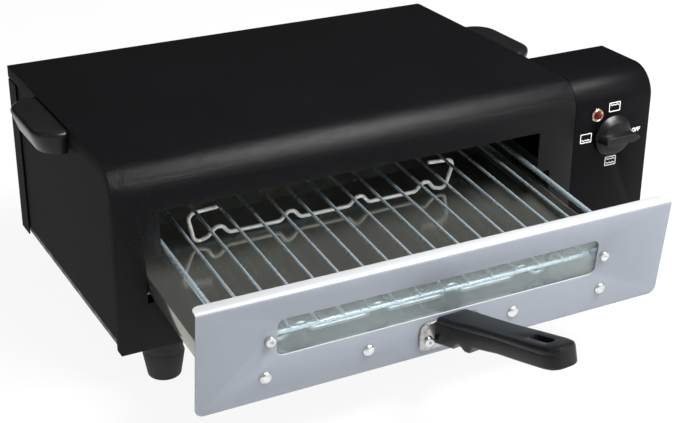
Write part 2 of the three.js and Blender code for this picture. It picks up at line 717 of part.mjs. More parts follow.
/** The grooved bush that lines the cord's hole. */
function cordBush() {
  const rim = CORD_BUSH_RADIUS + CORD_BUSH_RIM;
  const inner = SHEET + GAP;
  const profile = [[CORD_BUSH_BORE, -GAP - CORD_BUSH_RIM], [rim, -GAP - CORD_BUSH_RIM], [rim, -GAP],
    [CORD_BUSH_RADIUS, -GAP], [CORD_BUSH_RADIUS, inner], [rim, inner], [rim, inner + CORD_BUSH_RIM],
    [CORD_BUSH_BORE, inner + CORD_BUSH_RIM], [CORD_BUSH_BORE, -GAP - CORD_BUSH_RIM]];
  return piece('cord_bush', turnedForward(profile, DIAL_X, CONTROL_DEPTH, CORD_BUSH_HEIGHT), 'rubber');
}

/** The rotary switch behind the face, its bush through it, and the nut in front. */
function selectorSwitch() {
  const half = SWITCH_SIZE / 2;
  const y0 = SHEET + GAP;
  const y1 = y0 + SWITCH_DEPTH;
  const bore = SHAFT_RADIUS + GAP;
  const reach = SWITCH_NUT_HEIGHT + 2 * GAP;
  const body = block(DIAL_X - half, DIAL_X + half, y0, y1, DIAL_HEIGHT - half, DIAL_HEIGHT + half);
  const bush = turnedForward(disc(SWITCH_BUSH_RADIUS, -y0 - OVERRUN, reach), DIAL_X, 0, DIAL_HEIGHT);
  const hole = turnedForward(disc(bore, -SHAFT_INSIDE - GAP, reach + OVERRUN), DIAL_X, 0, DIAL_HEIGHT);
  const ring = SWITCH_BUSH_RADIUS + GAP;
  const nut = [[ring, GAP], [SWITCH_NUT_RADIUS, GAP], [SWITCH_NUT_RADIUS, GAP + SWITCH_NUT_HEIGHT],
    [ring, GAP + SWITCH_NUT_HEIGHT], [ring, GAP]];
  return [
    piece('selector_switch', cut(join(body, bush), hole), 'brownPlastic'),
    piece('switch_nut', turnedForward(nut, DIAL_X, 0, DIAL_HEIGHT), 'brightSteel'),
  ];
}

/** The knob, its raised grip bar pointing right, and the shaft it turns. */
function knobPieces() {
  const face = SWITCH_NUT_HEIGHT + 2 * GAP + KNOB_CLEARANCE;
  const top = GAP + KNOB_HEIGHT;
  const skirtTop = GAP + KNOB_CLEARANCE + KNOB_SKIRT;
  const skirtLow = GAP + KNOB_CLEARANCE;
  const crown = turnedForward([[0, skirtLow], [KNOB_RADIUS, skirtLow], [KNOB_RADIUS, skirtTop],
    [KNOB_CROWN_RADIUS, KNOB_CROWN], [0, KNOB_CROWN]], DIAL_X, 0, DIAL_HEIGHT);
  const half = KNOB_BAR_WIDTH / 2;
  const bar = new THREE.Shape();
  bar.moveTo(-KNOB_RADIUS, -half);
  bar.lineTo(KNOB_RADIUS - half, -half);
  bar.lineTo(KNOB_RADIUS + KNOB_POINTER, 0);
  bar.lineTo(KNOB_RADIUS - half, half);
  bar.lineTo(-KNOB_RADIUS, half);
  bar.closePath();
  const grip = alongY(bar, -top, -skirtTop).translate(DIAL_X, 0, DIAL_HEIGHT);
  const atDial = (profile, sides) => turnedForward(profile, DIAL_X, 0, DIAL_HEIGHT, sides);
  const well = atDial(disc(SWITCH_NUT_RADIUS + KNOB_CLEARANCE, 0, face));
  const socket = atDial(disc(SHAFT_RADIUS + GAP, 0, SHAFT_OUTSIDE + GAP), SMALL_SIDES);
  const shaft = atDial(disc(SHAFT_RADIUS, -SHAFT_INSIDE, SHAFT_OUTSIDE), SMALL_SIDES);
  return [
    piece('selector_knob', cut(join(crown, grip), well, socket), 'blackPlastic'),
    piece('selector_shaft', shaft, 'brightSteel'),
  ];
}

/** The pilot lamp: a bright bezel through the face, its red lens and the lamp behind. */
function pilotLamp() {
  const bore = LAMP_LENS_RADIUS + GAP;
  const bezel = [[bore, -LAMP_BARREL], [LAMP_BARREL_RADIUS, -LAMP_BARREL], [LAMP_BARREL_RADIUS, GAP],
    [LAMP_RADIUS, GAP], [LAMP_BARREL_RADIUS, LAMP_RIM], [bore, LAMP_RIM], [bore, -LAMP_BARREL]];
  const lens = [[0, 0], [LAMP_LENS_RADIUS, 0], [LAMP_LENS_RADIUS, SHEET],
    [LAMP_LENS_RADIUS / 2, LAMP_DOME + SHEET / 2], [0, LAMP_DOME + SHEET]];
  const body = disc(LAMP_LENS_RADIUS, -LAMP_BODY_LENGTH, -GAP);
  return [
    piece('lamp_bezel', turnedForward(bezel, LAMP_X, 0, LAMP_HEIGHT), 'brass'),
    piece('lamp_lens', turnedForward(lens, LAMP_X, 0, LAMP_HEIGHT), 'redLens'),
    piece('lamp_body', turnedForward(body, LAMP_X, 0, LAMP_HEIGHT, SMALL_SIDES), 'ceramic'),
  ];
}

// Heating

/** The tubular element at a height: a loop round the oven, both ends out through the right side. */
function element(name, height) {
  const right = BODY_WIDTH + TERMINAL_REACH;
  const left = ELEMENT_SIDE_MARGIN;
  const inner = BODY_WIDTH - ELEMENT_INNER_SETBACK;
  const back = ELEMENT_FRONT_Y + ELEMENT_LOOP_DEPTH;
  const second = ELEMENT_FRONT_Y + ELEMENT_TERMINAL_PITCH;
  const path = [[right, ELEMENT_FRONT_Y, height], [left, ELEMENT_FRONT_Y, height], [left, back, height],
    [inner, back, height], [inner, second, height], [right, second, height]];
  const bends = path.map((corner, i) => (i === path.length - 2 ? ELEMENT_BEND / 2 : ELEMENT_BEND));
  return piece(name, rod(path, ELEMENT_RADIUS, bends), 'elementSheath');
}

/** The insulating block that carries both ends of an element through the right side panel. */
function elementBlock(name, height) {
  const panel = BODY_WIDTH - 2 * (SHEET + GAP);
  const y0 = ELEMENT_FRONT_Y - ELEMENT_RADIUS - BLOCK_MARGIN;
  const y1 = ELEMENT_FRONT_Y + ELEMENT_TERMINAL_PITCH + ELEMENT_RADIUS + BLOCK_MARGIN;
  const half = ELEMENT_RADIUS + BLOCK_MARGIN;
  const flange = block(panel - BLOCK_FLANGE_THICKNESS, panel, y0 - BLOCK_FLANGE, y1 + BLOCK_FLANGE,
    height - half - BLOCK_FLANGE, height + half + BLOCK_FLANGE);
  const inner = panel - BLOCK_FLANGE_THICKNESS;
  const body = block(inner, inner + BLOCK_LENGTH, y0, y1, height - half, height + half);
  const bores = [ELEMENT_FRONT_Y, ELEMENT_FRONT_Y + ELEMENT_TERMINAL_PITCH].map((y) => turnedRight(
    disc(ELEMENT_RADIUS + GAP, -BLOCK_LENGTH, BLOCK_LENGTH + OVERRUN), panel, y, height, SMALL_SIDES));
  return piece(name, cut(join(flange, body), ...bores), 'ceramic');
}

/** The hole in the right side panel for an element's block. */
function blockHole(height) {
  const y0 = ELEMENT_FRONT_Y - ELEMENT_RADIUS - BLOCK_MARGIN - GAP;
  const y1 = ELEMENT_FRONT_Y + ELEMENT_TERMINAL_PITCH + ELEMENT_RADIUS + BLOCK_MARGIN + GAP;
  const half = ELEMENT_RADIUS + BLOCK_MARGIN + GAP;
  return block(BODY_WIDTH - 2 * BLOCK_LENGTH, BODY_WIDTH + OVERRUN, y0, y1, height - half, height + half);
}

/** A bent strap under an element, its legs to the roof sheet above or the floor below. */
function strap(name, x, height, footHeight) {
  const up = footHeight > height;
  const y0 = ELEMENT_FRONT_Y - ELEMENT_RADIUS - STRAP_MARGIN;
  const y1 = ELEMENT_FRONT_Y + ELEMENT_LOOP_DEPTH + ELEMENT_RADIUS + STRAP_MARGIN;
  const top = height - ELEMENT_RADIUS - GAP;
  const bar = block(x - STRAP_WIDTH / 2, x + STRAP_WIDTH / 2, y0, y1, top - STRAP_SHEET, top);
  const legLow = up ? top - STRAP_SHEET : footHeight;
  const legs = [y0, y1 - STRAP_SHEET].map((y) => block(
    x - STRAP_WIDTH / 2, x + STRAP_WIDTH / 2, y, y + STRAP_SHEET, legLow, up ? footHeight : top));
  return piece(name, join(bar, ...legs), 'galvanised');
}

/** The heat shield under the roof, its sides turned down. */
function roofShield() {
  const x0 = 2 * (SHEET + GAP) + REFLECTOR_MARGIN;
  const x1 = BODY_WIDTH - x0;
  const y0 = ELEMENT_FRONT_Y - ELEMENT_RADIUS - STRAP_MARGIN;
  const y1 = BODY_DEPTH - REFLECTOR_MARGIN;
  const top = shieldBottom() + REFLECTOR_SHEET;
  const plate = block(x0, x1, y0, y1, top - REFLECTOR_SHEET, top);
  const lip = (x) => block(x, x + REFLECTOR_SHEET, y0, y1, top - REFLECTOR_LIP, top);
  return piece('roof_shield', join(plate, lip(x0), lip(x1 - REFLECTOR_SHEET)), 'galvanised');
}

/** The height of the heat shield's underside. */
function shieldBottom() {
  return BODY_HEIGHT - SHEET - REFLECTOR_MARGIN - REFLECTOR_SHEET;
}

/** Leads from the elements' ends to the switch, and the link between their other ends. */
function leads() {
  const start = BODY_WIDTH + TERMINAL_REACH + GAP;
  const second = ELEMENT_FRONT_Y + ELEMENT_TERMINAL_PITCH;
  const switchBack = SHEET + 2 * GAP + SWITCH_DEPTH;
  const offset = SWITCH_SIZE / 4;
  const lead = (name, corners) => piece(name, rod(corners, LEAD_RADIUS, LEAD_BEND, WIRE_SIDES), 'rubber');
  const toSwitch = (from, to) => [[start, second, from], [DIAL_X, second, from], [DIAL_X, second, to],
    [DIAL_X, switchBack, to]];
  const side = start + 2 * LEAD_BEND;
  const link = [[start, ELEMENT_TOP_HEIGHT], [side, ELEMENT_TOP_HEIGHT], [side, ELEMENT_LOW_HEIGHT],
    [start, ELEMENT_LOW_HEIGHT]].map(([x, z]) => [x, ELEMENT_FRONT_Y, z]);
  return [
    lead('lead_upper', toSwitch(ELEMENT_TOP_HEIGHT, DIAL_HEIGHT + offset)),
    lead('lead_lower', toSwitch(ELEMENT_LOW_HEIGHT, DIAL_HEIGHT - offset)),
    lead('lead_common', link),
  ];
}

// Drawer

/** A fastener through the drawer's front: head in front, tail behind a stack of sheets. */
function frontFastener(name, [x, z], profile) {
  return piece(name, turnedForward(profile, x, -GAP, z, SMALL_SIDES), 'brightSteel');
}

/** A hole through the drawer's front and what lies behind it. */
function frontHole(x, z, radius) {
  return turnedForward(disc(radius + GAP, -PANEL_HEIGHT / 2, OVERRUN), x, 0, z, SMALL_SIDES);
}

/** The places of the front's fittings. */
function fittings() {
  const centre = PANEL_CENTRE + FITTINGS_SHIFT;
  const root = PANEL_CENTRE + HANDLE_OFFSET_X;
  const middle = (WINDOW_LOW + WINDOW_HIGH) / 2;
  const row = (from, pitches, height) => pitches.map((pitch) => [from + pitch / 2, height]);
  const rivetPitches = [-RIVET_PITCH_OUTER, -RIVET_PITCH_INNER, RIVET_PITCH_INNER, RIVET_PITCH_OUTER];
  return {
    windowScrews: row(centre, [-WINDOW_SCREW_SPACING, WINDOW_SCREW_SPACING], middle),
    rivets: row(centre, rivetPitches, RIVET_HEIGHT),
    bracketScrews: row(root, [-BRACKET_SCREW_PITCH, BRACKET_SCREW_PITCH], BRACKET_SCREW_HEIGHT),
  };
}

/** The front panel: one sheet bent back at the top, with the window slot. */
function drawerFront() {
  const section = new THREE.Shape();
  const inner = LIP_BEND - SHEET;
  section.moveTo(0, 0);
  section.lineTo(SHEET, 0);
  section.lineTo(SHEET, PANEL_HEIGHT - LIP_BEND);
  section.absarc(LIP_BEND, PANEL_HEIGHT - LIP_BEND, inner, Math.PI, Math.PI / 2, true);
  section.lineTo(LIP_DEPTH, PANEL_HEIGHT - SHEET);
  section.lineTo(LIP_DEPTH, PANEL_HEIGHT);
  section.lineTo(LIP_BEND, PANEL_HEIGHT);
  section.absarc(LIP_BEND, PANEL_HEIGHT - LIP_BEND, LIP_BEND, Math.PI / 2, Math.PI, false);
  section.lineTo(0, 0);
  const sheet = solidOf(alongX(section, 0, PANEL_WIDTH));
  const silhouette = roundedRectangle(0, PANEL_WIDTH, 0, PANEL_HEIGHT + 2 * PANEL_CORNER, PANEL_CORNER);
  const plan = roundedRectangle(0, PANEL_WIDTH, -2 * PANEL_CORNER, LIP_DEPTH, PANEL_CORNER);
  const frontKept = solidOf(alongY(silhouette, -OVERRUN, LIP_DEPTH + OVERRUN));
  const lipKept = solidOf(pulled(plan, 2 * PANEL_HEIGHT, ARC_STEPS / 2).translate(0, 0, -PANEL_HEIGHT / 2));
  const left = PANEL_CENTRE + FITTINGS_SHIFT - WINDOW_WIDTH / 2;
  const slot = roundedRectangle(left, left + WINDOW_WIDTH, WINDOW_LOW, WINDOW_HIGH, WINDOW_CORNER);
  const { windowScrews, rivets, bracketScrews } = fittings();
  const screwHoles = [...windowScrews, ...bracketScrews].map(([x, z]) => frontHole(x, z, SCREW_RADIUS));
  const rivetHoles = rivets.map(([x, z]) => frontHole(x, z, RIVET_RADIUS));
  const blank = geometryOf(sheet.intersect(frontKept).intersect(lipKept));
  const front = cut(blank, alongY(slot, -OVERRUN, SHEET + OVERRUN), ...screwHoles, ...rivetHoles);
  return piece('drawer_front', front, 'aluminium');
}

/** The glass behind the window slot, with the screws through it. */
function windowPieces() {
  const centre = PANEL_CENTRE + FITTINGS_SHIFT;
  const back = TRAY_FRONT + GLASS_THICKNESS;
  const pane = block(centre - GLASS_WIDTH / 2, centre + GLASS_WIDTH / 2, TRAY_FRONT, back,
    WINDOW_LOW - GLASS_MARGIN, WINDOW_HIGH + GLASS_MARGIN);
  const { windowScrews } = fittings();
  const holes = windowScrews.map(([x, z]) => frontHole(x, z, SCREW_RADIUS));
  const grip = back + 2 * GAP;
  const profile = [[0, -grip - NUT_HEIGHT], [NUT_RADIUS, -grip - NUT_HEIGHT], [NUT_RADIUS, -grip],
    ...screwProfile(grip).slice(1)];
  return [
    piece('window_glass', cut(pane, ...holes), 'glass'),
    ...windowScrews.map((place, i) => frontFastener(`window_screw_${SIDES[i]}`, place, profile)),
  ];
}

/** The shallow tray, its front wall riveted to the panel. */
function trayPieces() {
  const x0 = PANEL_CENTRE - TRAY_WIDTH / 2;
  const x1 = PANEL_CENTRE + TRAY_WIDTH / 2;
  const y0 = TRAY_FRONT;
  const y1 = TRAY_LENGTH;
  const outside = block(x0, x1, y0, y1, TRAY_BOTTOM, TRAY_TOP);
  const inside = block(x0 + TRAY_SHEET, x1 - TRAY_SHEET, y0 + TRAY_SHEET, y1 - TRAY_SHEET,
    TRAY_FLOOR, TRAY_TOP + OVERRUN);
  const { rivets } = fittings();
  const holes = rivets.map(([x, z]) => frontHole(x, z, RIVET_RADIUS));
  const grip = y0 + TRAY_SHEET + 2 * GAP;
  const tail = -grip - RIVET_TAIL_HEIGHT;
  const profile = [[0, tail], [RIVET_TAIL_RADIUS, tail], [RIVET_TAIL_RADIUS, -grip], [RIVET_RADIUS, -grip],
    [RIVET_RADIUS, 0], [RIVET_HEAD_RADIUS, 0],
    [RIVET_HEAD_RADIUS - RIVET_RADIUS, RIVET_HEAD_HEIGHT - RIVET_RADIUS / 4], [0, RIVET_HEAD_HEIGHT]];
  return [
    piece('drawer_tray', cut(outside, inside, ...holes), 'polishedSteel'),
    ...rivets.map((place, i) => frontFastener(`front_rivet_${i + 1}`, place, profile)),
  ];
}

/** The pull handle's own axes in the drawer: X across it, Y out along it, Z up through it. */
function handleAxes() {
  const level = Math.cos(HANDLE_RISE);
  const along = new THREE.Vector3(
    Math.sin(HANDLE_SWING) * level, -Math.cos(HANDLE_SWING) * level, Math.sin(HANDLE_RISE));
  const across = new THREE.Vector3(-Math.cos(HANDLE_SWING), -Math.sin(HANDLE_SWING), 0);
  const up = new THREE.Vector3().crossVectors(across, along);
  const root = new THREE.Vector3(PANEL_CENTRE + HANDLE_OFFSET_X, 0, HANDLE_ROOT_TOP);
  return new THREE.Matrix4().makeBasis(across, along, up).setPosition(root);
}

/** One ring of the handle: a chamfered rectangle hung from the top line. */
function handleRing(along, width, thickness) {
  const half = width / 2;
  const flat = half - HANDLE_CHAMFER;
  const low = -thickness;
  const places = [[flat, low], [half, low + HANDLE_CHAMFER], [half, -HANDLE_CHAMFER], [flat, 0],
    [-flat, 0], [-half, -HANDLE_CHAMFER], [-half, low + HANDLE_CHAMFER], [-flat, low]];
  return places.map(([x, z]) => new THREE.Vector3(x, along, z));
}

/** The plate on the panel with the tang that the handle is pressed on to. */
function handleBracket() {
  const left = PANEL_CENTRE + HANDLE_OFFSET_X - BRACKET_WIDTH / 2;
  const top = BRACKET_LOW + BRACKET_HEIGHT;
  const outline = roundedRectangle(left, left + BRACKET_WIDTH, BRACKET_LOW, top, BRACKET_CORNER);
  const plate = alongY(outline, -GAP - BRACKET_SHEET, -GAP);
  const half = TANG_WIDTH / 2;
  const tangTop = -TANG_HEIGHT / 2;
  const bar = block(-half, half, -TANG_LENGTH / 2, TANG_LENGTH, tangTop - TANG_THICKNESS, tangTop)
    .applyMatrix4(handleAxes());
  const behind = block(0, PANEL_WIDTH, -GAP - BRACKET_SHEET / 2, PANEL_HEIGHT, -PANEL_HEIGHT, PANEL_HEIGHT);
  const { bracketScrews } = fittings();
  const holes = bracketScrews.map(([x, z]) => frontHole(x, z, SCREW_RADIUS));
  const profile = screwProfile(BRACKET_SHEET + 2 * GAP + SHEET);
  return [
    piece('handle_bracket', cut(join(plate, cut(bar, behind)), ...holes), 'brightSteel'),
    ...bracketScrews.map(([x, z], i) => piece(`bracket_screw_${SIDES[i]}`,
      turnedForward(profile, x, -BRACKET_SHEET - 2 * GAP, z, SMALL_SIDES), 'brightSteel')),
  ];
}

/** The moulded pull handle with its hanging slot, cut off square against the bracket. */
function pullHandle() {
  const rings = HANDLE_STATION_SHARES.map(([along, width, height]) => handleRing(
    HANDLE_LENGTH * along, HANDLE_WIDTH * width, HANDLE_ROOT_HEIGHT * height));
  const slotEnd = HANDLE_LENGTH - HANDLE_SLOT_INSET + HANDLE_SLOT_LENGTH / 2;
  const slotHalf = HANDLE_SLOT_WIDTH / 2;
  const slot = roundedRectangle(-slotHalf, slotHalf, slotEnd - HANDLE_SLOT_LENGTH, slotEnd, slotHalf - GAP);
  const slotTool = pulled(slot, 2 * HANDLE_ROOT_HEIGHT, ARC_STEPS / 2)
    .translate(0, 0, GAP - 2 * HANDLE_ROOT_HEIGHT + OVERRUN);
  const half = TANG_WIDTH / 2 + GAP;
  const tangTop = -TANG_HEIGHT / 2;
  const pocket = block(-half, half, -TANG_LENGTH, TANG_LENGTH + GAP,
    tangTop - TANG_THICKNESS - GAP, tangTop + GAP);
  const local = cut(loft(rings), slotTool, pocket).applyMatrix4(handleAxes());
  const behind = block(0, PANEL_WIDTH, -BRACKET_SHEET - 2 * GAP, PANEL_HEIGHT, -PANEL_HEIGHT, PANEL_HEIGHT);
  return piece('pull_handle', cut(local, behind), 'blackPlastic');
}

// Grill

/** The lift-off grill: parallel wires over two cross bars, the outer wires thicker. */
function wireGrill() {
  const pitch = GRILL_WIDTH / (GRILL_WIRES - 1);
  const left = PANEL_CENTRE - GRILL_WIDTH / 2;
  const right = left + GRILL_WIDTH;
  const back = GRILL_FRONT + GRILL_LENGTH;
  const barHeight = GRILL_HEIGHT - CROSSBAR_DROP;
  const straight = (from, to, radius) => rod([from, to], radius, 0, WIRE_SIDES);
  const wires = [];
  for (let i = 0; i < GRILL_WIRES; i += 1) {
    const x = left + i * pitch;
    const outer = i === 0 || i === GRILL_WIRES - 1;
    const radius = outer ? FRAME_WIRE_RADIUS : WIRE_RADIUS;
    wires.push(straight([x, GRILL_FRONT, GRILL_HEIGHT], [x, back, GRILL_HEIGHT], radius));
  }
  const bars = [GRILL_FRONT + CROSSBAR_INSET, back - CROSSBAR_INSET].map(
    (y) => straight([left, y, barHeight], [right, y, barHeight], FRAME_WIRE_RADIUS));
  return piece('wire_grill', join(...wires, ...bars), 'zincWire');
}

/** One skewer rest: a bent wire standing on the tray with humps to keep skewers apart. */
function skewerRest(name, y) {
  const centre = PANEL_CENTRE + REST_SHIFT;
  const low = TRAY_FLOOR + GAP + REST_RADIUS;
  const flat = low + REST_RUN_LIFT;
  const crest = flat + REST_HUMP_HEIGHT;
  const top = GRILL_HEIGHT - WIRE_RADIUS - GAP - REST_RADIUS;
  const rightEnd = [[REST_FOOT_HALF_WIDTH, low], [REST_HALF_WIDTH, top - REST_END_DROP],
    [REST_HALF_WIDTH - REST_TURN_IN, top]];
  const path = rightEnd.map(([x, z]) => [-x, z]).reverse();
  const bends = path.map(() => REST_BEND);
  for (let i = 0; i < HUMP_COUNT; i += 1) {
    const x = (i - (HUMP_COUNT - 1) / 2) * REST_HUMP_PITCH;
    const hump = [[-HUMP_FOOT, flat], [-HUMP_CROWN, crest], [HUMP_CROWN, crest], [HUMP_FOOT, flat]];
    path.push(...hump.map(([along, z]) => [x + along, z]));
    bends.push(...hump.map(() => HUMP_BEND));
  }
  path.push(...rightEnd);
  bends.push(...rightEnd.map(() => REST_BEND));
  const corners = path.map(([x, z]) => [centre + x, y, z]);
  return piece(name, rod(corners, REST_RADIUS, bends, WIRE_SIDES, HUMP_RINGS), 'brightSteel');
}

// The whole

/** Everything that stays still, in the casing's axes. */
function casingPieces() {
  const rightCuts = [...gripHoles('right'), blockHole(ELEMENT_TOP_HEIGHT), blockHole(ELEMENT_LOW_HEIGHT)];
  const strapTop = shieldBottom() - GAP;
  const strapPlaces = [STRAP_INSET, BODY_WIDTH - STRAP_INSET];
  return [
    frontTopSheet(),
    sidePanel('side_panel_left', true, gripHoles('left')),
    sidePanel('side_panel_right', false, rightCuts),
    backPanel(),
    bottomPlate(),
    ...Object.entries(footPlaces()).flatMap(([place, at]) => foot(place, at)),
    ...SIDES.flatMap(sideGrip),
    ...SIDES.map(runner),
    controlCover(),
    controlBack(),
    cordBush(),
    ...selectorSwitch(),
    ...pilotLamp(),
    element('upper_element', ELEMENT_TOP_HEIGHT),
    element('lower_element', ELEMENT_LOW_HEIGHT),
    elementBlock('upper_element_block', ELEMENT_TOP_HEIGHT),
    elementBlock('lower_element_block', ELEMENT_LOW_HEIGHT),
    ...strapPlaces.map((x, i) => strap(`upper_strap_${SIDES[i]}`, x, ELEMENT_TOP_HEIGHT, strapTop)),
    ...strapPlaces.map((x, i) => strap(`lower_strap_${SIDES[i]}`, x, ELEMENT_LOW_HEIGHT, SHEET + GAP)),
    roofShield(),
    ...leads(),
    ...knobPieces(),
  ];
}

/** The drawer with its grill, pulled part way out. */
function drawerGroup() {
  const drawer = new THREE.Group();
  drawer.name = 'drawer';
  const [closedY] = closedPoint(0, 0);
  const outY = closedY - DRAWER_OUT * Math.cos(RUNNER_SLOPE);
  drawer.position.set(BODY_CENTRE_X - PANEL_CENTRE, outY, PANEL_REST_HEIGHT);
  drawer.rotation.x = RUNNER_SLOPE;
  drawer.add(drawerFront(), ...windowPieces(), ...trayPieces(), ...handleBracket(), pullHandle(),
    wireGrill(), skewerRest('skewer_rest_front', REST_FRONT_Y), skewerRest('skewer_rest_rear', REST_REAR_Y));
  return drawer;
}

/** The tandoor on its origin: the middle of the bottom of its box. */
function tandoor() {
  const whole = new THREE.Group();
  whole.add(...casingPieces(), drawerGroup());
  const box = new THREE.Box3().setFromObject(whole, true);
  const centre = box.getCenter(new THREE.Vector3());
  whole.position.set(-centre.x, -centre.y, -box.min.z);
  const root = new THREE.Group();
  root.name = 'electric_tandoor';
  root.add(whole);
  return root;
}

export default tandoor();
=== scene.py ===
"""Looks of an electric tandoor: a black grill oven with its tray drawer pulled part way out.

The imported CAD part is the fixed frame. Each sub-assembly below builds the pieces that show, from its
own sizes and from the places of the CAD nodes, and gives every piece and node a procedural finish.
Lengths are in metres.
"""

import json
import logging
import math
from abc import ABC, abstractmethod
from collections.abc import Callable, Iterable, Iterator, Sequence
from contextlib import contextmanager
from dataclasses import dataclass, field
from enum import Enum

import bmesh
import bpy
from mathutils import Matrix, Vector


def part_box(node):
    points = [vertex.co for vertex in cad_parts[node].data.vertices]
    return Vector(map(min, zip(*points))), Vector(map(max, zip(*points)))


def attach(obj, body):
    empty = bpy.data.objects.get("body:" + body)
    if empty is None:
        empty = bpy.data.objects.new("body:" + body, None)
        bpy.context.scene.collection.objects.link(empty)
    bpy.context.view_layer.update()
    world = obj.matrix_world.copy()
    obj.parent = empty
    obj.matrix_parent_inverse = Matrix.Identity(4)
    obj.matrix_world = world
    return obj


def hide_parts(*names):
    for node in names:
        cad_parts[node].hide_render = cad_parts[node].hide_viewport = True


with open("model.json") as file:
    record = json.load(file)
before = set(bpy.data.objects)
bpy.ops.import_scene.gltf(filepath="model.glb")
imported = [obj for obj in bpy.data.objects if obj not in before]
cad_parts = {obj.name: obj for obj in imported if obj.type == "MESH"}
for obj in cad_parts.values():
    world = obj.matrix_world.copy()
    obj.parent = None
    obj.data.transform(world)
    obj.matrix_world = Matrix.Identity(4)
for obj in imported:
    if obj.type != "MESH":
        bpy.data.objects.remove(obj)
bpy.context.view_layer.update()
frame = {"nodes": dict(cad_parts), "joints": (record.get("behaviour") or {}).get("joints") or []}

log = logging.getLogger("tandoor")

MM = 0.001
TOUCH = 0.02 * MM
# A face looks along an axis when its normal has more than this share of it.
FACING = 0.9
# Degrees past which a wire's edge is rounded, and up to which it is shaded smooth.
WIRE_SHARP = 60.0
WIRE_SMOOTH = 50.0
Point = tuple[float, float, float]
Colour = tuple[float, float, float, float]
Stops = tuple[tuple[float, float], ...]
Element = bmesh.types.BMFace | bmesh.types.BMEdge | bmesh.types.BMVert
WHITE: Colour = (1.0, 1.0, 1.0, 1.0)


class Body(Enum):
    """The moving bodies of the tandoor."""

    CASING = "casing"
    DRAWER = "drawer"
    GRILL = "grill"
    KNOB = "knob"


class Side(Enum):
    """Which side of the tandoor a piece is on, seen from its front."""

    LEFT = "left"
    RIGHT = "right"

    @property
    def sign(self) -> int:
        """Minus one on the left and one on the right."""
        return -1 if self is Side.LEFT else 1


# Shader work


class Socket:
    """A node's output that Python's arithmetic turns into Math nodes."""

    def __init__(self, nodes: "Nodes", output: bpy.types.NodeSocket) -> None:
        """Wraps an output.

        Args:
            nodes: The node tree that the output belongs to.
            output: The output.
        """
        self.nodes = nodes
        self.output = output

    def _math(self, operation: str, first: "Value", second: "Value") -> "Socket":
        """Adds a Math node.

        Args:
            operation: The node's operation.
            first: Its first value.
            second: Its second value.

        Returns:
            The node's result.
        """
        return self.nodes.node("Math", {"operation": operation}, {0: first, 1: second})

    def __add__(self, other: "Value") -> "Socket":
        """This value plus another."""
        return self._math("ADD", self, other)

    def __radd__(self, other: "Value") -> "Socket":
        """Another value plus this one."""
        return self._math("ADD", other, self)

    def __mul__(self, other: "Value") -> "Socket":
        """This value times another."""
        return self._math("MULTIPLY", self, other)

    def __rmul__(self, other: "Value") -> "Socket":
        """Another value times this one."""
        return self._math("MULTIPLY", other, self)

    def __abs__(self) -> "Socket":
        """This value without its sign."""
        return self.nodes.node("Math", {"operation": "ABSOLUTE"}, {0: self})


Value = Socket | float | int | Colour | Point


class Nodes:
    """A node tree, with one method that makes any node."""

    def __init__(self, tree: bpy.types.NodeTree) -> None:
        """Empties the tree.

        Args:
            tree: The node tree of a material or a world.
        """
        self.tree = tree
        self.tree.nodes.clear()

    def node(
        self,
        kind: str,
        settings: dict[str, object] | None = None,
        inputs: dict[str | int, Value] | None = None,
        output: str | int = 0,
    ) -> Socket:
        """Makes a node.

        Args:
            kind: The node's type without its ShaderNode prefix.
            settings: The node's own settings, and a ramp's stops under the name stops.
            inputs: The values or links of its inputs.
            output: The output that is wanted.

        Returns:
            The wanted output.
        """
        made = self.tree.nodes.new(f"ShaderNode{kind}")
        for name, value in (settings or {}).items():
            if name == "stops":
                self._set_stops(made.color_ramp, value)
            else:
                setattr(made, name, value)
        for name, value in (inputs or {}).items():
            if isinstance(value, Socket):
                self.tree.links.new(value.output, made.inputs[name])
            else:
                made.inputs[name].default_value = value
        return Socket(self, made.outputs[output])

    @staticmethod
    def _set_stops(ramp: bpy.types.ColorRamp, stops: Sequence[tuple[float, Colour]]) -> None:
        """Sets a ramp's stops.

        Args:
            ramp: The ramp, with its own two stops.
            stops: Places and colours, from low to high.
        """
        while len(ramp.elements) < len(stops):
            ramp.elements.new(1.0)
        for element, (place, colour) in zip(ramp.elements, stops):
            element.position = place
            element.color = colour

    def fade(self, value: Value, ends: tuple[float, float], first: Value, last: Value) -> Socket:
        """A level that changes steadily while a value passes a stretch.

        Args:
            value: The value.
            ends: Where the stretch starts and ends.
            first: The level before it.
            last: The level after it.

        Returns:
            The level.
        """
        start, end = ends
        levels = {"Value": value, "From Min": start, "From Max": end, "To Min": first, "To Max": last}
        return self.node("MapRange", inputs=levels)

    def finish(self, shader: Socket, kind: str = "OutputMaterial") -> None:
        """Ends the tree in a shader.

        Args:
            shader: The shader for the surface.
            kind: The type of the output node, without its ShaderNode prefix.
        """
        made = self.tree.nodes.new(f"ShaderNode{kind}")
        self.tree.links.new(shader.output, made.inputs["Surface"])


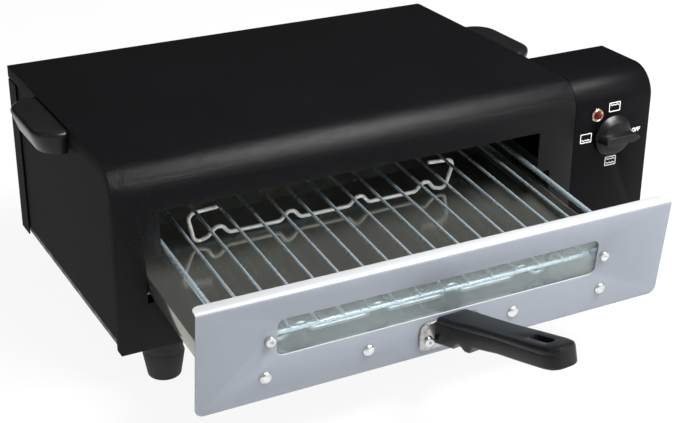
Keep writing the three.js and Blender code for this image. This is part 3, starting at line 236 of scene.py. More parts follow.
class Shader(Nodes):
    """A material's node tree, with the patterns that the finishes share."""

    def __init__(self, name: str) -> None:
        """Makes an empty material.

        Args:
            name: The material's name.
        """
        self.material = bpy.data.materials.new(name)
        self.material.use_nodes = True
        super().__init__(self.material.node_tree)

    def place(self, scale: Point = (1.0, 1.0, 1.0)) -> Socket:
        """The point on the surface in object coordinates.

        Args:
            scale: How much each axis is stretched.

        Returns:
            The stretched point.
        """
        point = self.node("TexCoord", output="Object")
        return self.node("Mapping", inputs={"Vector": point, "Scale": scale})

    def noise(self, scale: float, detail: float = 2.0, stretch: Point = (1.0, 1.0, 1.0)) -> Socket:
        """Noise from 0 to 1 over the surface.

        Args:
            scale: Noise cells per metre.
            detail: Octaves of finer noise.
            stretch: How much each axis is stretched first.

        Returns:
            The noise.
        """
        return self.node("TexNoise", inputs={"Vector": self.place(stretch), "Scale": scale, "Detail": detail})

    def facing(self, axis: str) -> Socket:
        """How far the surface faces along an axis.

        Args:
            axis: The axis, X, Y or Z.

        Returns:
            The normal's share along it, from -1 to 1.
        """
        normal = self.node("NewGeometry", output="Normal")
        return self.node("SeparateXYZ", inputs={"Vector": normal}, output=axis)

    def ramp(self, value: Socket, *stops: tuple[float, float]) -> Socket:
        """A value sent through a ramp of greys.

        Args:
            value: The value from 0 to 1.
            stops: Places and grey levels.

        Returns:
            The grey level.
        """
        greys = [(place, (level, level, level, 1.0)) for place, level in stops]
        return self.node("ValToRGB", {"stops": greys}, {"Fac": value})

    def blend(self, share: Value, first: Value, second: Value) -> Socket:
        """Mixes two colours.

        Args:
            share: The second colour's share.
            first: The first colour.
            second: The second colour.

        Returns:
            The mixed colour.
        """
        return self.node("Mix", {"data_type": "RGBA"}, {0: share, 6: first, 7: second}, output=2)

    def bump(self, height: Value, distance: float, strength: float = 1.0) -> Socket:
        """A normal from a height.

        Args:
            height: The height, from 0 to 1.
            distance: The height of 1 in metres.
            strength: How much of it is used.

        Returns:
            The normal.
        """
        return self.node("Bump", inputs={"Height": height, "Distance": distance, "Strength": strength})

    def surface(self, **inputs: Value) -> None:
        """Ends the tree in a Principled surface.

        Args:
            inputs: Its inputs, with underscores for the spaces in their names.
        """
        named = {name.replace("_", " "): value for name, value in inputs.items()}
        self.finish(self.node("BsdfPrincipled", inputs=named))


# Finishes


@dataclass(frozen=True)
class Finish(ABC):
    """A surface finish, made a material once."""

    name: str
    slot: str

    @abstractmethod
    def build(self, shader: Shader) -> None:
        """Fills a shader with this finish.

        Args:
            shader: The empty shader.
        """

    def material(self) -> bpy.types.Material:
        """The finish's material, made when it is first asked for.

        Returns:
            The material.
        """
        ready = bpy.data.materials.get(self.name)
        if ready is not None:
            return ready
        shader = Shader(self.name)
        self.build(shader)
        return shader.material


@dataclass(frozen=True)
class PowderCoat(Finish):
    """Black powder paint with a fine grain and a faint unevenness."""

    colour: Colour = (0.0022, 0.0021, 0.0027, 1.0)
    dust: Colour = (0.0045, 0.0044, 0.0055, 1.0)
    grains_per_metre: float = 1300.0
    grain_share: float = 0.3
    grain_height: float = 0.0004
    clouds_per_metre: float = 14.0
    cloud_stops: Stops = ((0.35, 0.0), (0.75, 1.0))
    cloud_share: float = 0.5
    roughness: float = 0.16
    grain_dullness: float = 0.12
    side_stops: Stops = ((0.7, 0.0), (0.95, 1.0))
    side_dullness: float = 0.0
    specular: float = 0.14

    def build(self, shader: Shader) -> None:
        """Mixes the grain, the unevenness and the duller faces that look sideways.

        Args:
            shader: The empty shader.
        """
        grain = shader.noise(self.grains_per_metre, 1.0)
        clouds = shader.ramp(shader.noise(self.clouds_per_metre), *self.cloud_stops)
        sideways = shader.ramp(abs(shader.facing("X")), *self.side_stops)
        dusty = clouds * self.cloud_share + grain * self.grain_share
        shader.surface(
            Base_Color=shader.blend(dusty, self.colour, self.dust),
            Roughness=self.roughness + grain * self.grain_dullness + sideways * self.side_dullness,
            Normal=shader.bump(grain, self.grain_height, 1.0),
            Specular_IOR_Level=self.specular,
        )


@dataclass(frozen=True)
class Moulding(Finish):
    """Glossy moulded plastic with slow flow marks and fine pits."""

    colour: Colour = (0.004, 0.004, 0.0045, 1.0)
    sheen: Colour = (0.008, 0.008, 0.009, 1.0)
    flow_per_metre: float = 120.0
    flow_share: float = 0.8
    pits_per_metre: float = 1800.0
    pit_share: float = 0.2
    pit_dullness: float = 0.12
    relief_height: float = 0.00003
    relief_strength: float = 0.4
    roughness: float = 0.24
    specular: float = 0.26

    def build(self, shader: Shader) -> None:
        """Mixes the flow marks with the pits.

        Args:
            shader: The empty shader.
        """
        flow = shader.noise(self.flow_per_metre)
        pits = shader.noise(self.pits_per_metre)
        relief = flow * self.flow_share + pits * self.pit_share
        shader.surface(
            Base_Color=shader.blend(flow, self.colour, self.sheen),
            Roughness=self.roughness + pits * self.pit_dullness,
            Normal=shader.bump(relief, self.relief_height, self.relief_strength),
            Specular_IOR_Level=self.specular,
        )


@dataclass(frozen=True)
class RolledSheet(Finish):
    """Bare sheet metal with rolling lines along X and soft smudges, with painted light that makes it lighter
    where it faces up.
    """

    colour: Colour = (0.235, 0.255, 0.291, 1.0)
    smudge: Colour = (0.21, 0.228, 0.26, 1.0)
    # Painted highlight: the lighter colour that faces looking up are mixed towards, as if lit from above, and
    # its share.
    top_light_colour: Colour = (0.46, 0.47, 0.48, 1.0)
    top_light_share: float = 0.0
    top_light_stops: Stops = ((0.35, 0.0), (0.8, 1.0))
    smudges_per_metre: float = 11.0
    smudge_stops: Stops = ((0.35, 0.0), (0.7, 1.0))
    smudge_share: float = 0.8
    smudge_dullness: float = 0.06
    lines_per_metre: float = 1500.0
    line_stretch: Point = (0.02, 1.0, 1.0)
    line_height: float = 0.00002
    line_strength: float = 0.35
    line_dullness: float = 0.08
    metallic: float = 0.2
    roughness: float = 0.42

    def build(self, shader: Shader) -> None:
        """Lays the rolling lines, the smudges and the painted highlight on faces that look up.

        Args:
            shader: The empty shader.
        """
        lines = shader.noise(self.lines_per_metre, 2.0, self.line_stretch)
        smudges = shader.ramp(shader.noise(self.smudges_per_metre, 4.0), *self.smudge_stops)
        # Painted highlight: faces that look up are mixed towards a lighter colour, standing in for the light
        # from above.
        up = shader.ramp(shader.facing("Z"), *self.top_light_stops)
        sheet = shader.blend(smudges * self.smudge_share, self.colour, self.smudge)
        shader.surface(
            Base_Color=shader.blend(up * self.top_light_share, sheet, self.top_light_colour),
            Metallic=self.metallic,
            Roughness=self.roughness + lines * self.line_dullness + smudges * self.smudge_dullness,
            Normal=shader.bump(lines, self.line_height, self.line_strength),
        )


@dataclass(frozen=True)
class Plating(Finish):
    """Bright or zinc plating on wire and small hardware, with duller patches."""

    colour: Colour = (0.82, 0.83, 0.82, 1.0)
    dull: Colour = (0.6, 0.61, 0.61, 1.0)
    patches_per_metre: float = 260.0
    patch_stops: Stops = ((0.4, 0.0), (0.7, 1.0))
    patch_dullness: float = 0.14
    patch_height: float = 0.00002
    patch_strength: float = 0.25
    metallic: float = 1.0
    roughness: float = 0.16

    def build(self, shader: Shader) -> None:
        """Lays the duller patches over the plating.

        Args:
            shader: The empty shader.
        """
        patches = shader.ramp(shader.noise(self.patches_per_metre, 3.0), *self.patch_stops)
        shader.surface(
            Base_Color=shader.blend(patches, self.colour, self.dull),
            Metallic=self.metallic,
            Roughness=self.roughness + patches * self.patch_dullness,
            Normal=shader.bump(patches, self.patch_height, self.patch_strength),
        )


@dataclass(frozen=True)
class Spangle(Finish):
    """Galvanised sheet with its crystal spangle."""

    light: Colour = (0.5, 0.51, 0.52, 1.0)
    dark: Colour = (0.33, 0.34, 0.35, 1.0)
    crystals_per_metre: float = 140.0
    crystal_dullness: float = 0.2
    metallic: float = 0.85
    roughness: float = 0.32

    def build(self, shader: Shader) -> None:
        """Gives each crystal its own grey and gloss.

        Args:
            shader: The empty shader.
        """
        cell = shader.node(
            "TexVoronoi",
            {"feature": "F1"},
            {"Vector": shader.place(), "Scale": self.crystals_per_metre},
            output="Color",
        )
        grey = shader.node("SeparateColor", inputs={"Color": cell}, output="Red")
        shader.surface(
            Base_Color=shader.blend(grey, self.light, self.dark),
            Metallic=self.metallic,
            Roughness=self.roughness + grey * self.crystal_dullness,
        )


@dataclass(frozen=True)
class Sheath(Finish):
    """The dark oxide scale on a tubular heating element."""

    colour: Colour = (0.05, 0.045, 0.042, 1.0)
    scale_colour: Colour = (0.11, 0.09, 0.08, 1.0)
    scales_per_metre: float = 400.0
    scale_height: float = 0.00006
    scale_strength: float = 0.5
    scale_dullness: float = 0.25
    metallic: float = 0.5
    roughness: float = 0.4

    def build(self, shader: Shader) -> None:
        """Mixes the oxide scale.

        Args:
            shader: The empty shader.
        """
        scale = shader.noise(self.scales_per_metre, 4.0)
        shader.surface(
            Base_Color=shader.blend(scale, self.colour, self.scale_colour),
            Metallic=self.metallic,
            Roughness=self.roughness + scale * self.scale_dullness,
            Normal=shader.bump(scale, self.scale_height, self.scale_strength),
        )


@dataclass(frozen=True)
class Matt(Finish):
    """A matt solid, such as rubber, ceramic, brown plastic or printing ink."""

    colour: Colour = (0.02, 0.02, 0.02, 1.0)
    worn: Colour = (0.035, 0.034, 0.033, 1.0)
    wear_per_metre: float = 60.0
    wear_stops: Stops = ((0.4, 0.0), (0.75, 1.0))
    grains_per_metre: float = 900.0
    grain_height: float = 0.00005
    grain_strength: float = 0.4
    grain_dullness: float = 0.15
    roughness: float = 0.62

    def build(self, shader: Shader) -> None:
        """Gives the solid a dry grain and worn parts.

        Args:
            shader: The empty shader.
        """
        grain = shader.noise(self.grains_per_metre, 3.0)
        worn = shader.ramp(shader.noise(self.wear_per_metre, 3.0), *self.wear_stops)
        shader.surface(
            Base_Color=shader.blend(worn, self.colour, self.worn),
            Roughness=self.roughness + grain * self.grain_dullness,
            Normal=shader.bump(grain, self.grain_height, self.grain_strength),
        )


@dataclass(frozen=True)
class LampLens(Finish):
    """A moulded red lens over an unlit lamp, brighter in its mottled parts."""

    core: Colour = (0.14, 0.007, 0.005, 1.0)
    rim: Colour = (0.035, 0.002, 0.002, 1.0)
    mottles_per_metre: float = 420.0
    mottle_stops: Stops = ((0.4, 0.0), (0.6, 1.0))
    mottle_height: float = 0.0002
    mottle_strength: float = 0.5
    mottle_dullness: float = 0.1
    roughness: float = 0.3
    specular: float = 0.12

    def build(self, shader: Shader) -> None:
        """Mottles the red.

        Args:
            shader: The empty shader.
        """
        mottle = shader.noise(self.mottles_per_metre, 2.0)
        shader.surface(
            Base_Color=shader.blend(shader.ramp(mottle, *self.mottle_stops), self.rim, self.core),
            Roughness=self.roughness + mottle * self.mottle_dullness,
            Normal=shader.bump(mottle, self.mottle_height, self.mottle_strength),
            Specular_IOR_Level=self.specular,
        )


@dataclass(frozen=True)
class WindowGlass(Finish):
    """Clear flat glass under a faint film, seen mostly by its reflections."""

    tint: Colour = (0.6, 0.72, 0.74, 1.0)
    alpha: float = 0.07
    films_per_metre: float = 28.0
    film_share: float = 0.08
    film_dullness: float = 0.03
    roughness: float = 0.02

    def build(self, shader: Shader) -> None:
        """Lays the film over the pane.

        Args:
            shader: The empty shader.
        """
        film = shader.noise(self.films_per_metre, 3.0)
        shader.surface(
            Base_Color=self.tint,
            Roughness=self.roughness + film * self.film_dullness,
            Alpha=self.alpha + film * self.film_share,
        )


PAINT = PowderCoat("powder_coat", "black_paint", side_dullness=0.65)
SIDE_PAINT = PowderCoat("matt_powder_coat", "black_paint", roughness=0.6, specular=0.06)
BOX_PAINT = PowderCoat("box_powder_coat", "black_paint", grain_height=0.00015, roughness=0.3, specular=0.06)
PHENOLIC = Moulding("black_phenolic", "black_plastic")
RUBBER = Matt("foot_rubber", "rubber")
# The front panel's lip and other faces that look up carry painted light from above.
ALUMINIUM = RolledSheet("front_aluminium", "aluminium", top_light_share=1.0)
TRAY_STEEL = RolledSheet(
    "tray_steel",
    "polished_steel",
    colour=(0.34, 0.345, 0.31, 1.0),
    smudge=(0.25, 0.253, 0.228, 1.0),
    metallic=0.85,
    roughness=0.06,
)
ZINC = Plating(
    "grill_zinc",
    "zinc_wire",
    colour=(0.58, 0.7, 0.76, 1.0),
    dull=(0.5, 0.61, 0.67, 1.0),
    roughness=0.26,
    metallic=0.8,
)
BRIGHT = Plating("bright_plating", "bright_steel", roughness=0.22)
# The rear skewer rest: bright plated wire, made nearly white and matt as a painted reflection of the light
# from above.
HIGHLIGHT_PAINTED_WIRE = Plating(
    "highlight_painted_wire",
    "bright_steel",
    colour=(1.0, 1.0, 0.98, 1.0),
    dull=(0.95, 0.95, 0.92, 1.0),
    roughness=0.36,
    patches_per_metre=90.0,
    metallic=0.3,
)
# The front skewer rest: the same bright wire painted dark grey-blue as painted shade, where it stands behind
# the window.
SHADE_PAINTED_WIRE = Plating(
    "shade_painted_wire",
    "bright_steel",
    colour=(0.3, 0.36, 0.38, 1.0),
    dull=(0.26, 0.31, 0.33, 1.0),
    roughness=0.5,
    metallic=0.8,
)
PLATE_STEEL = Plating(
    "bracket_plating",
    "bright_steel",
    colour=(0.5, 0.49, 0.48, 1.0),
    dull=(0.3, 0.3, 0.29, 1.0),
)
BRASS = Plating("lamp_bezel_plating", "brass", colour=(0.8, 0.66, 0.48, 1.0), dull=(0.55, 0.42, 0.3, 1.0))
GALVANISED = Spangle("galvanised_sheet", "galvanised")
# The galvanised bottom plate, its spangle darkened to near black as painted shade along the casing's lower
# edge.
SHADE_PAINTED_BASE_SHEET = Spangle(
    "shade_painted_base_sheet",
    "galvanised",
    light=(0.07, 0.065, 0.06, 1.0),
    dark=(0.035, 0.033, 0.03, 1.0),
)
SHEATH = Sheath("oxidised_sheath", "element_sheath")
CERAMIC = Matt("block_ceramic", "ceramic", colour=(0.72, 0.68, 0.6, 1.0), worn=(0.6, 0.55, 0.47, 1.0))
BAKELITE = Matt(
    "switch_bakelite",
    "brown_plastic",
    colour=(0.05, 0.03, 0.018, 1.0),
    worn=(0.07, 0.045, 0.03, 1.0),
)
LENS = LampLens("lamp_red", "red_lens")
GLASS = WindowGlass("window_glass", "glass")
INK = Matt(
    "white_ink",
    "black_paint",
    colour=(0.82, 0.82, 0.82, 1.0),
    worn=(0.7, 0.7, 0.71, 1.0),
    roughness=0.5,
)


# Modelling


class Edit:
    """A mesh in edit mode, with what is picked in it chosen by place or normal."""

    def __init__(self, piece: bpy.types.Object) -> None:
        """Starts on a mesh that is in edit mode.

        Args:
            piece: The mesh's object.
        """
        self.piece = piece

    def _pick(self, kind: str, wanted: Callable[[bmesh.types.BMesh], Iterable[Element]]) -> None:
        """Selects some elements and nothing else.

        Args:
            kind: Blender's select mode.
            wanted: Gives the elements of the mesh to select.
        """
        bpy.ops.mesh.select_mode(type=kind)
        bpy.ops.mesh.select_all(action="DESELECT")
        mesh = bmesh.from_edit_mesh(self.piece.data)
        for element in wanted(mesh):
            element.select_set(True)
        mesh.select_flush_mode()
        bmesh.update_edit_mesh(self.piece.data)

    def faces(self, test: Callable[[Vector, Vector], bool]) -> None:
        """Selects faces.

        Args:
            test: Whether a face of this centre and normal is wanted.
        """
        self._pick("FACE", lambda mesh: [f for f in mesh.faces if test(f.calc_center_median(), f.normal)])

    def edges(self, test: Callable[[Vector, Vector], bool]) -> None:
        """Selects edges.

        Args:
            test: Whether an edge between these two points is wanted.
        """
        self._pick("EDGE", lambda mesh: [e for e in mesh.edges if test(e.verts[0].co, e.verts[1].co)])

    def points(self, test: Callable[[Vector], bool]) -> None:
        """Selects corner points.

        Args:
            test: Whether the point at this place is wanted.
        """
        self._pick("VERT", lambda mesh: [v for v in mesh.verts if test(v.co)])

    def everything(self) -> None:
        """Selects the whole mesh."""
        bpy.ops.mesh.select_all(action="SELECT")

    def bevel(self, width: float, segments: int) -> None:
        """Rounds the picked edges.

        Args:
            width: The distance from each edge.
            segments: Steps round the bevel.
        """
        bpy.ops.mesh.bevel(offset=width, offset_type="OFFSET", segments=segments, profile=0.5, affect="EDGES")

    def bevel_points(self, width: float, segments: int) -> None:
        """Rounds the picked points of a flat sheet.

        Args:
            width: The distance from each point.
            segments: Steps round the corner.
        """
        bpy.ops.mesh.bevel(
            offset=width, offset_type="OFFSET", segments=segments, profile=0.5, affect="VERTICES"
        )

    def sink(self, depth: float) -> None:
        """Sinks the picked faces into the piece with walls round them.

        Args:
            depth: How deep they go.
        """
        bpy.ops.mesh.extrude_region_shrink_fatten(TRANSFORM_OT_shrink_fatten={"value": -depth})

    def inset(self, width: float, boundary: bool = True) -> None:
        """Insets each picked face.

        Args:
            width: The inset.
            boundary: Whether open edges are inset too.
        """
        bpy.ops.mesh.inset(
            thickness=width, use_boundary=boundary, use_even_offset=True, use_individual=boundary
        )

    def push(self, way: Point) -> None:
        """Extrudes the picked faces.

        Args:
            way: How far they move.
        """
        bpy.ops.mesh.extrude_region_move(TRANSFORM_OT_translate={"value": way})

    def resize(self, scale: Point, centre: Point) -> None:
        """Scales what is picked.

        Args:
            scale: The scale along each axis.
            centre: The point that stays.
        """
        bpy.ops.transform.resize(value=scale, center_override=centre)

    def split(self, point: Point, normal: Point, keep_low: bool = False, fill: bool = False) -> None:
        """Cuts what is picked with a plane.

        Args:
            point: A point of the plane.
            normal: The plane's normal.
            keep_low: Whether what lies on the normal's side goes.
            fill: Whether the cut is closed.
        """
        bpy.ops.mesh.bisect(plane_co=point, plane_no=normal, clear_outer=keep_low, use_fill=fill)

    def remove(self) -> None:
        """Deletes the picked faces."""
        bpy.ops.mesh.delete(type="FACE")

    def mend(self) -> None:
        """Merges doubled corners and turns all faces outwards."""
        self.everything()
        bpy.ops.mesh.remove_doubles(threshold=TOUCH / 10)
        self.face_outwards()

    def face_outwards(self) -> None:
        """Turns all faces outwards."""
        self.everything()
        bpy.ops.mesh.normals_make_consistent(inside=False)


class Bench:
    """Makes meshes with Blender's operators and finishes them as pieces."""

    @staticmethod
    def only(piece: bpy.types.Object) -> None:
        """Selects one object alone and makes it active.

        Args:
            piece: The object.
        """
        bpy.ops.object.select_all(action="DESELECT")
        piece.select_set(True)
        bpy.context.view_layer.objects.active = piece

    @staticmethod
    @contextmanager
    def editing(piece: bpy.types.Object) -> Iterator[Edit]:
        """Opens a mesh in edit mode.

        Args:
            piece: The mesh's object.

        Yields:
            The mesh to shape.
        """
        Bench.only(piece)
        bpy.ops.object.mode_set(mode="EDIT")
        yield Edit(piece)
        bpy.ops.object.mode_set(mode="OBJECT")

    @staticmethod
    def named(name: str) -> bpy.types.Object:
        """Names the new active object and puts its place in its mesh.

        Args:
            name: The name.

        Returns:
            The object.
        """
        piece = bpy.context.active_object
        piece.name = name
        piece.data.name = name
        bpy.ops.object.transform_apply(location=True, rotation=True, scale=True)
        return piece

    @staticmethod
    def block(name: str, low: Sequence[float], high: Sequence[float]) -> bpy.types.Object:
        """A box between two corners.

        Args:
            name: Its name.
            low: Its lowest corner.
            high: Its highest corner.

        Returns:
            The box.
        """
        bpy.ops.object.select_all(action="DESELECT")
        size = Vector(high) - Vector(low)
        middle = (Vector(high) + Vector(low)) / 2
        bpy.ops.mesh.primitive_cube_add(size=1.0, location=middle, scale=size)
        return Bench.named(name)

    @staticmethod
    def turned(name: str, profile: Sequence[tuple[float, float]], sides: int = 48) -> bpy.types.Object:
        """A round piece about Z, drawn up from a disc by extruding and scaling its end.

        Args:
            name: Its name.
            profile: Radius and height pairs, from one end to the other.
            sides: Sides of the round.

        Returns:
            The piece, its axis through the origin.
        """
        bpy.ops.object.select_all(action="DESELECT")
        radius, height = profile[0]
        start = (0.0, 0.0, height)
        bpy.ops.mesh.primitive_circle_add(vertices=sides, radius=radius, fill_type="NGON", location=start)
        piece = Bench.named(name)
        with Bench.editing(piece) as mesh:
            mesh.everything()
            for wide, high in profile[1:]:
                mesh.push((0.0, 0.0, high - height))
                share = wide / radius
                mesh.resize((share, share, 1.0), (0.0, 0.0, high))
                radius, height = wide, high
            mesh.mend()
        return piece

    @staticmethod
    def rod(
        name: str,
        corners: Sequence[Sequence[float]],
        radius: float,
        bends: float | Sequence[float] = 0.0,
        sides: int = 3,
    ) -> bpy.types.Object:
        """A round rod along straight runs joined by round bends.

        Args:
            name: Its name.
            corners: The corners of its path.
            radius: The rod's radius.
            bends: The radius of every bend, or of each corner's bend.
            sides: Steps in a quarter of the rod's round.

        Returns:
            The rod as a mesh.
        """
        path = Bench.path(corners, bends)
        curve = bpy.data.curves.new(name, "CURVE")
        curve.dimensions = "3D"
        curve.bevel_depth = radius
        curve.bevel_resolution = sides
        curve.use_fill_caps = True
        spline = curve.splines.new("POLY")
        spline.points.add(len(path) - 1)
        for point, place in zip(spline.points, path):
            point.co = (*place, 1.0)
        piece = bpy.data.objects.new(name, curve)
        bpy.context.collection.objects.link(piece)
        Bench.only(piece)
        bpy.ops.object.convert(target="MESH")
        piece = Bench.named(name)
        with Bench.editing(piece) as mesh:
            mesh.mend()
        return piece

    @staticmethod
    def path(
        corners: Sequence[Sequence[float]], bends: float | Sequence[float], steps: int = 7
    ) -> list[Vector]:
        """The points of a path whose corners are rounded.

        Args:
            corners: The corners.
            bends: The bend radius, one for all or one for each corner.
            steps: Steps round each bend.

        Returns:
            The points.
        """
        points = [Vector(corner) for corner in corners]
        radii = [bends] * len(points) if isinstance(bends, float) else list(bends)
        path = [points[0]]
        for before, corner, after, radius in zip(points, points[1:], points[2:], radii[1:]):
            into = (corner - before).normalized()
            out = (after - corner).normalized()
            angle = into.angle(out)
            start = corner - into * radius * math.tan(angle / 2)
            side = (out - into * out.dot(into)).normalized()
            for step in range(steps + 1):
                turned = angle * step / steps
                path.append(start + into * radius * math.sin(turned) + side * radius * (1 - math.cos(turned)))
        return [*path, points[-1]]

    @staticmethod
    def modify(piece: bpy.types.Object, kind: str, **settings: object) -> None:
        """Adds a modifier and applies it.

        Args:
            piece: The object.
            kind: The modifier's type.
            settings: The modifier's settings.
        """
        Bench.only(piece)
        modifier = piece.modifiers.new(kind.title(), kind)
        for name, value in settings.items():
            setattr(modifier, name, value)
        bpy.ops.object.modifier_apply(modifier=modifier.name)

    @staticmethod
    def thicken(piece: bpy.types.Object, sheet: float) -> None:
        """Gives an open skin its sheet's thickness, inwards.

        Args:
            piece: The skin.
            sheet: The thickness.
        """
        Bench.modify(piece, "SOLIDIFY", thickness=sheet, offset=-1.0, use_even_offset=True)

    @staticmethod
    def soften(piece: bpy.types.Object, width: float, segments: int = 2, angle: float = 35.0) -> None:
        """Rounds all sharp edges a little.

        Args:
            piece: The object.
            width: The rounding's width.
            segments: Steps round each edge.
            angle: Degrees past which an edge counts as sharp.
        """
        sharp = math.radians(angle)
        Bench.modify(piece, "BEVEL", width=width, segments=segments, limit_method="ANGLE", angle_limit=sharp)

    @staticmethod
    def carve(piece: bpy.types.Object, tool: bpy.types.Object) -> None:
        """Takes one solid out of another and throws the tool away.

        Args:
            piece: The solid that stays.
            tool: The solid that is taken out of it.
        """
        Bench.modify(piece, "BOOLEAN", object=tool, operation="DIFFERENCE", solver="MANIFOLD")
        bpy.data.objects.remove(tool)

    @staticmethod
    def move(piece: bpy.types.Object, matrix: Matrix) -> None:
        """Moves a piece by a matrix and keeps the place in its mesh.

        Args:
            piece: The piece.
            matrix: Its move.
        """
        Bench.only(piece)
        piece.matrix_world = matrix
        bpy.ops.object.transform_apply(location=True, rotation=True, scale=True)

    @staticmethod
    def copy(piece: bpy.types.Object, name: str, matrix: Matrix) -> bpy.types.Object:
        """A moved copy with its own mesh.

        Args:
            piece: The piece to copy.
            name: The copy's name.
            matrix: The copy's move.

        Returns:
            The copy.
        """
        other = piece.copy()
        other.data = piece.data.copy()
        other.name = name
        other.data.name = name
        bpy.context.collection.objects.link(other)
        Bench.move(other, matrix)
        return other

    @staticmethod
    def join(pieces: Sequence[bpy.types.Object]) -> bpy.types.Object:
        """Joins pieces into the first of them.

        Args:
            pieces: The pieces.

        Returns:
            The first piece, now holding all.
        """
        bpy.ops.object.select_all(action="DESELECT")
        for piece in pieces:
            piece.select_set(True)
        bpy.context.view_layer.objects.active = pieces[0]
        bpy.ops.object.join()
        return pieces[0]

    @staticmethod
    def complete(
        piece: bpy.types.Object, body: Body, finish: Finish, *stands_for: str, smooth: float = 32.0
    ) -> None:
        """Smooths, dresses and mounts a finished piece.

        Args:
            piece: The piece.
            body: The body that it moves with.
            finish: Its finish.
            stands_for: The CAD nodes that it is shown in place of.
            smooth: Degrees up to which an edge is shaded smooth.
        """
        Bench.only(piece)
        bpy.ops.object.shade_smooth_by_angle(angle=math.radians(smooth))
        piece.data.materials.clear()
        piece.data.materials.append(finish.material())
        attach(piece, body.value)
        if stands_for:
            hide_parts(*stands_for)
        log.info("%s: %d faces, on the %s", piece.name, len(piece.data.polygons), body.value)

    @staticmethod
    def paint(finish: Finish, *nodes: str) -> None:
        """Gives CAD nodes that stay a finish.

        Args:
            finish: The finish.
            nodes: The nodes' names.
        """
        for name in nodes:
            for slot in frame["nodes"][name].material_slots:
                slot.material = finish.material()
            log.info("%s keeps its CAD shape in %s", name, finish.name)


def corners_of(node: str) -> tuple[Vector, Vector]:
    """The lowest and highest corner of a CAD node at rest.

    Args:
        node: The node's name.

    Returns:
        The two corners.
    """
    low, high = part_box(node)
    return Vector(low), Vector(high)


def middle_of(node: str) -> Vector:
    """The middle of a CAD node's box."""
    low, high = corners_of(node)
    return (low + high) / 2


def half_width(node: str) -> float:
    """Half of a CAD node's extent along X."""
    low, high = corners_of(node)
    return (high.x - low.x) / 2


def facing_front(at: Sequence[float]) -> Matrix:
    """Turns a piece's Z axis to the front and puts its origin at a place.

    Args:
        at: The place.

    Returns:
        The move.
    """
    return Matrix.Translation(Vector(at)) @ Matrix.Rotation(math.radians(90), 4, "X")


def is_front(centre: Vector, normal: Vector) -> bool:
    """Whether a face looks to the front."""
    return normal.y < -FACING


# Sub-assemblies


@dataclass
class SubAssembly(ABC):
    """Pieces that are built together."""

    @abstractmethod
    def build(self) -> None:
        """Builds and dresses the pieces."""


@dataclass
class CasingShell(SubAssembly):
    """The bent front and top sheet, and the sheets and runners that keep their CAD shape."""

    bend: float = 22 * MM
    flange: float = 9 * MM
    sheet: float = 1 * MM
    tray_play: float = 1.5 * MM
    grill_play: float = 1.2 * MM
    opening_low: float = 35 * MM
    opening_step: float = 68 * MM
    opening_top: float = 99.5 * MM
    edge: float = 0.25 * MM
    bend_steps: int = 20

    def build(self) -> None:
        """Builds the bent sheet and dresses the rest."""
        low, high = corners_of("front_top_sheet")
        shell = Bench.block("casing_wrap", low, high)
        with Bench.editing(shell) as mesh:
            mesh.edges(lambda a, b: all(abs(p.y - low.y) + abs(p.z - high.z) < TOUCH for p in (a, b)))
            mesh.bevel(self.bend, self.bend_steps)
            mesh.faces(lambda centre, normal: normal.y > FACING or normal.z < -FACING)
            mesh.remove()
            mesh.faces(lambda centre, normal: abs(normal.x) > FACING)
            mesh.inset(self.flange, boundary=False)
            mesh.remove()
            self._open_front(mesh, low, high)
        Bench.thicken(shell, self.sheet)
        Bench.soften(shell, self.edge)
        Bench.complete(shell, Body.CASING, PAINT, "front_top_sheet")
        Bench.paint(SIDE_PAINT, "side_panel_left", "side_panel_right", "back_panel", "control_back")
        # The bottom plate is galvanised, painted near black as painted shade.
        Bench.paint(SHADE_PAINTED_BASE_SHEET, "bottom_plate")
        Bench.paint(GALVANISED, "roof_shield", "drawer_runner_left", "drawer_runner_right")

    def _open_front(self, mesh: Edit, low: Vector, high: Vector) -> None:
        """Cuts the stepped opening that the tray and the grill pass through.

        Args:
            mesh: The sheet.
            low: The casing's lowest corner.
            high: The casing's highest corner.
        """
        middle = (low.x + high.x) / 2
        tray_half = half_width("drawer_tray") + self.tray_play
        grill_half = half_width("wire_grill") + self.grill_play
        heights = (self.opening_low, self.opening_step, self.opening_top)
        bottom, step, top = (low.z + height for height in heights)
        for half in (-tray_half, -grill_half, grill_half, tray_half):
            mesh.faces(is_front)
            mesh.split((middle + half, 0.0, 0.0), (1.0, 0.0, 0.0))
        for height in (bottom, step, top):
            mesh.faces(is_front)
            mesh.split((0.0, 0.0, height), (0.0, 0.0, 1.0))

        def is_open(centre: Vector, normal: Vector) -> bool:
            """Whether a face of the front lies in the stepped opening."""
            half = tray_half if centre.z < step else grill_half
            return is_front(centre, normal) and abs(centre.x - middle) < half and bottom < centre.z < top

        mesh.faces(is_open)
        mesh.remove()


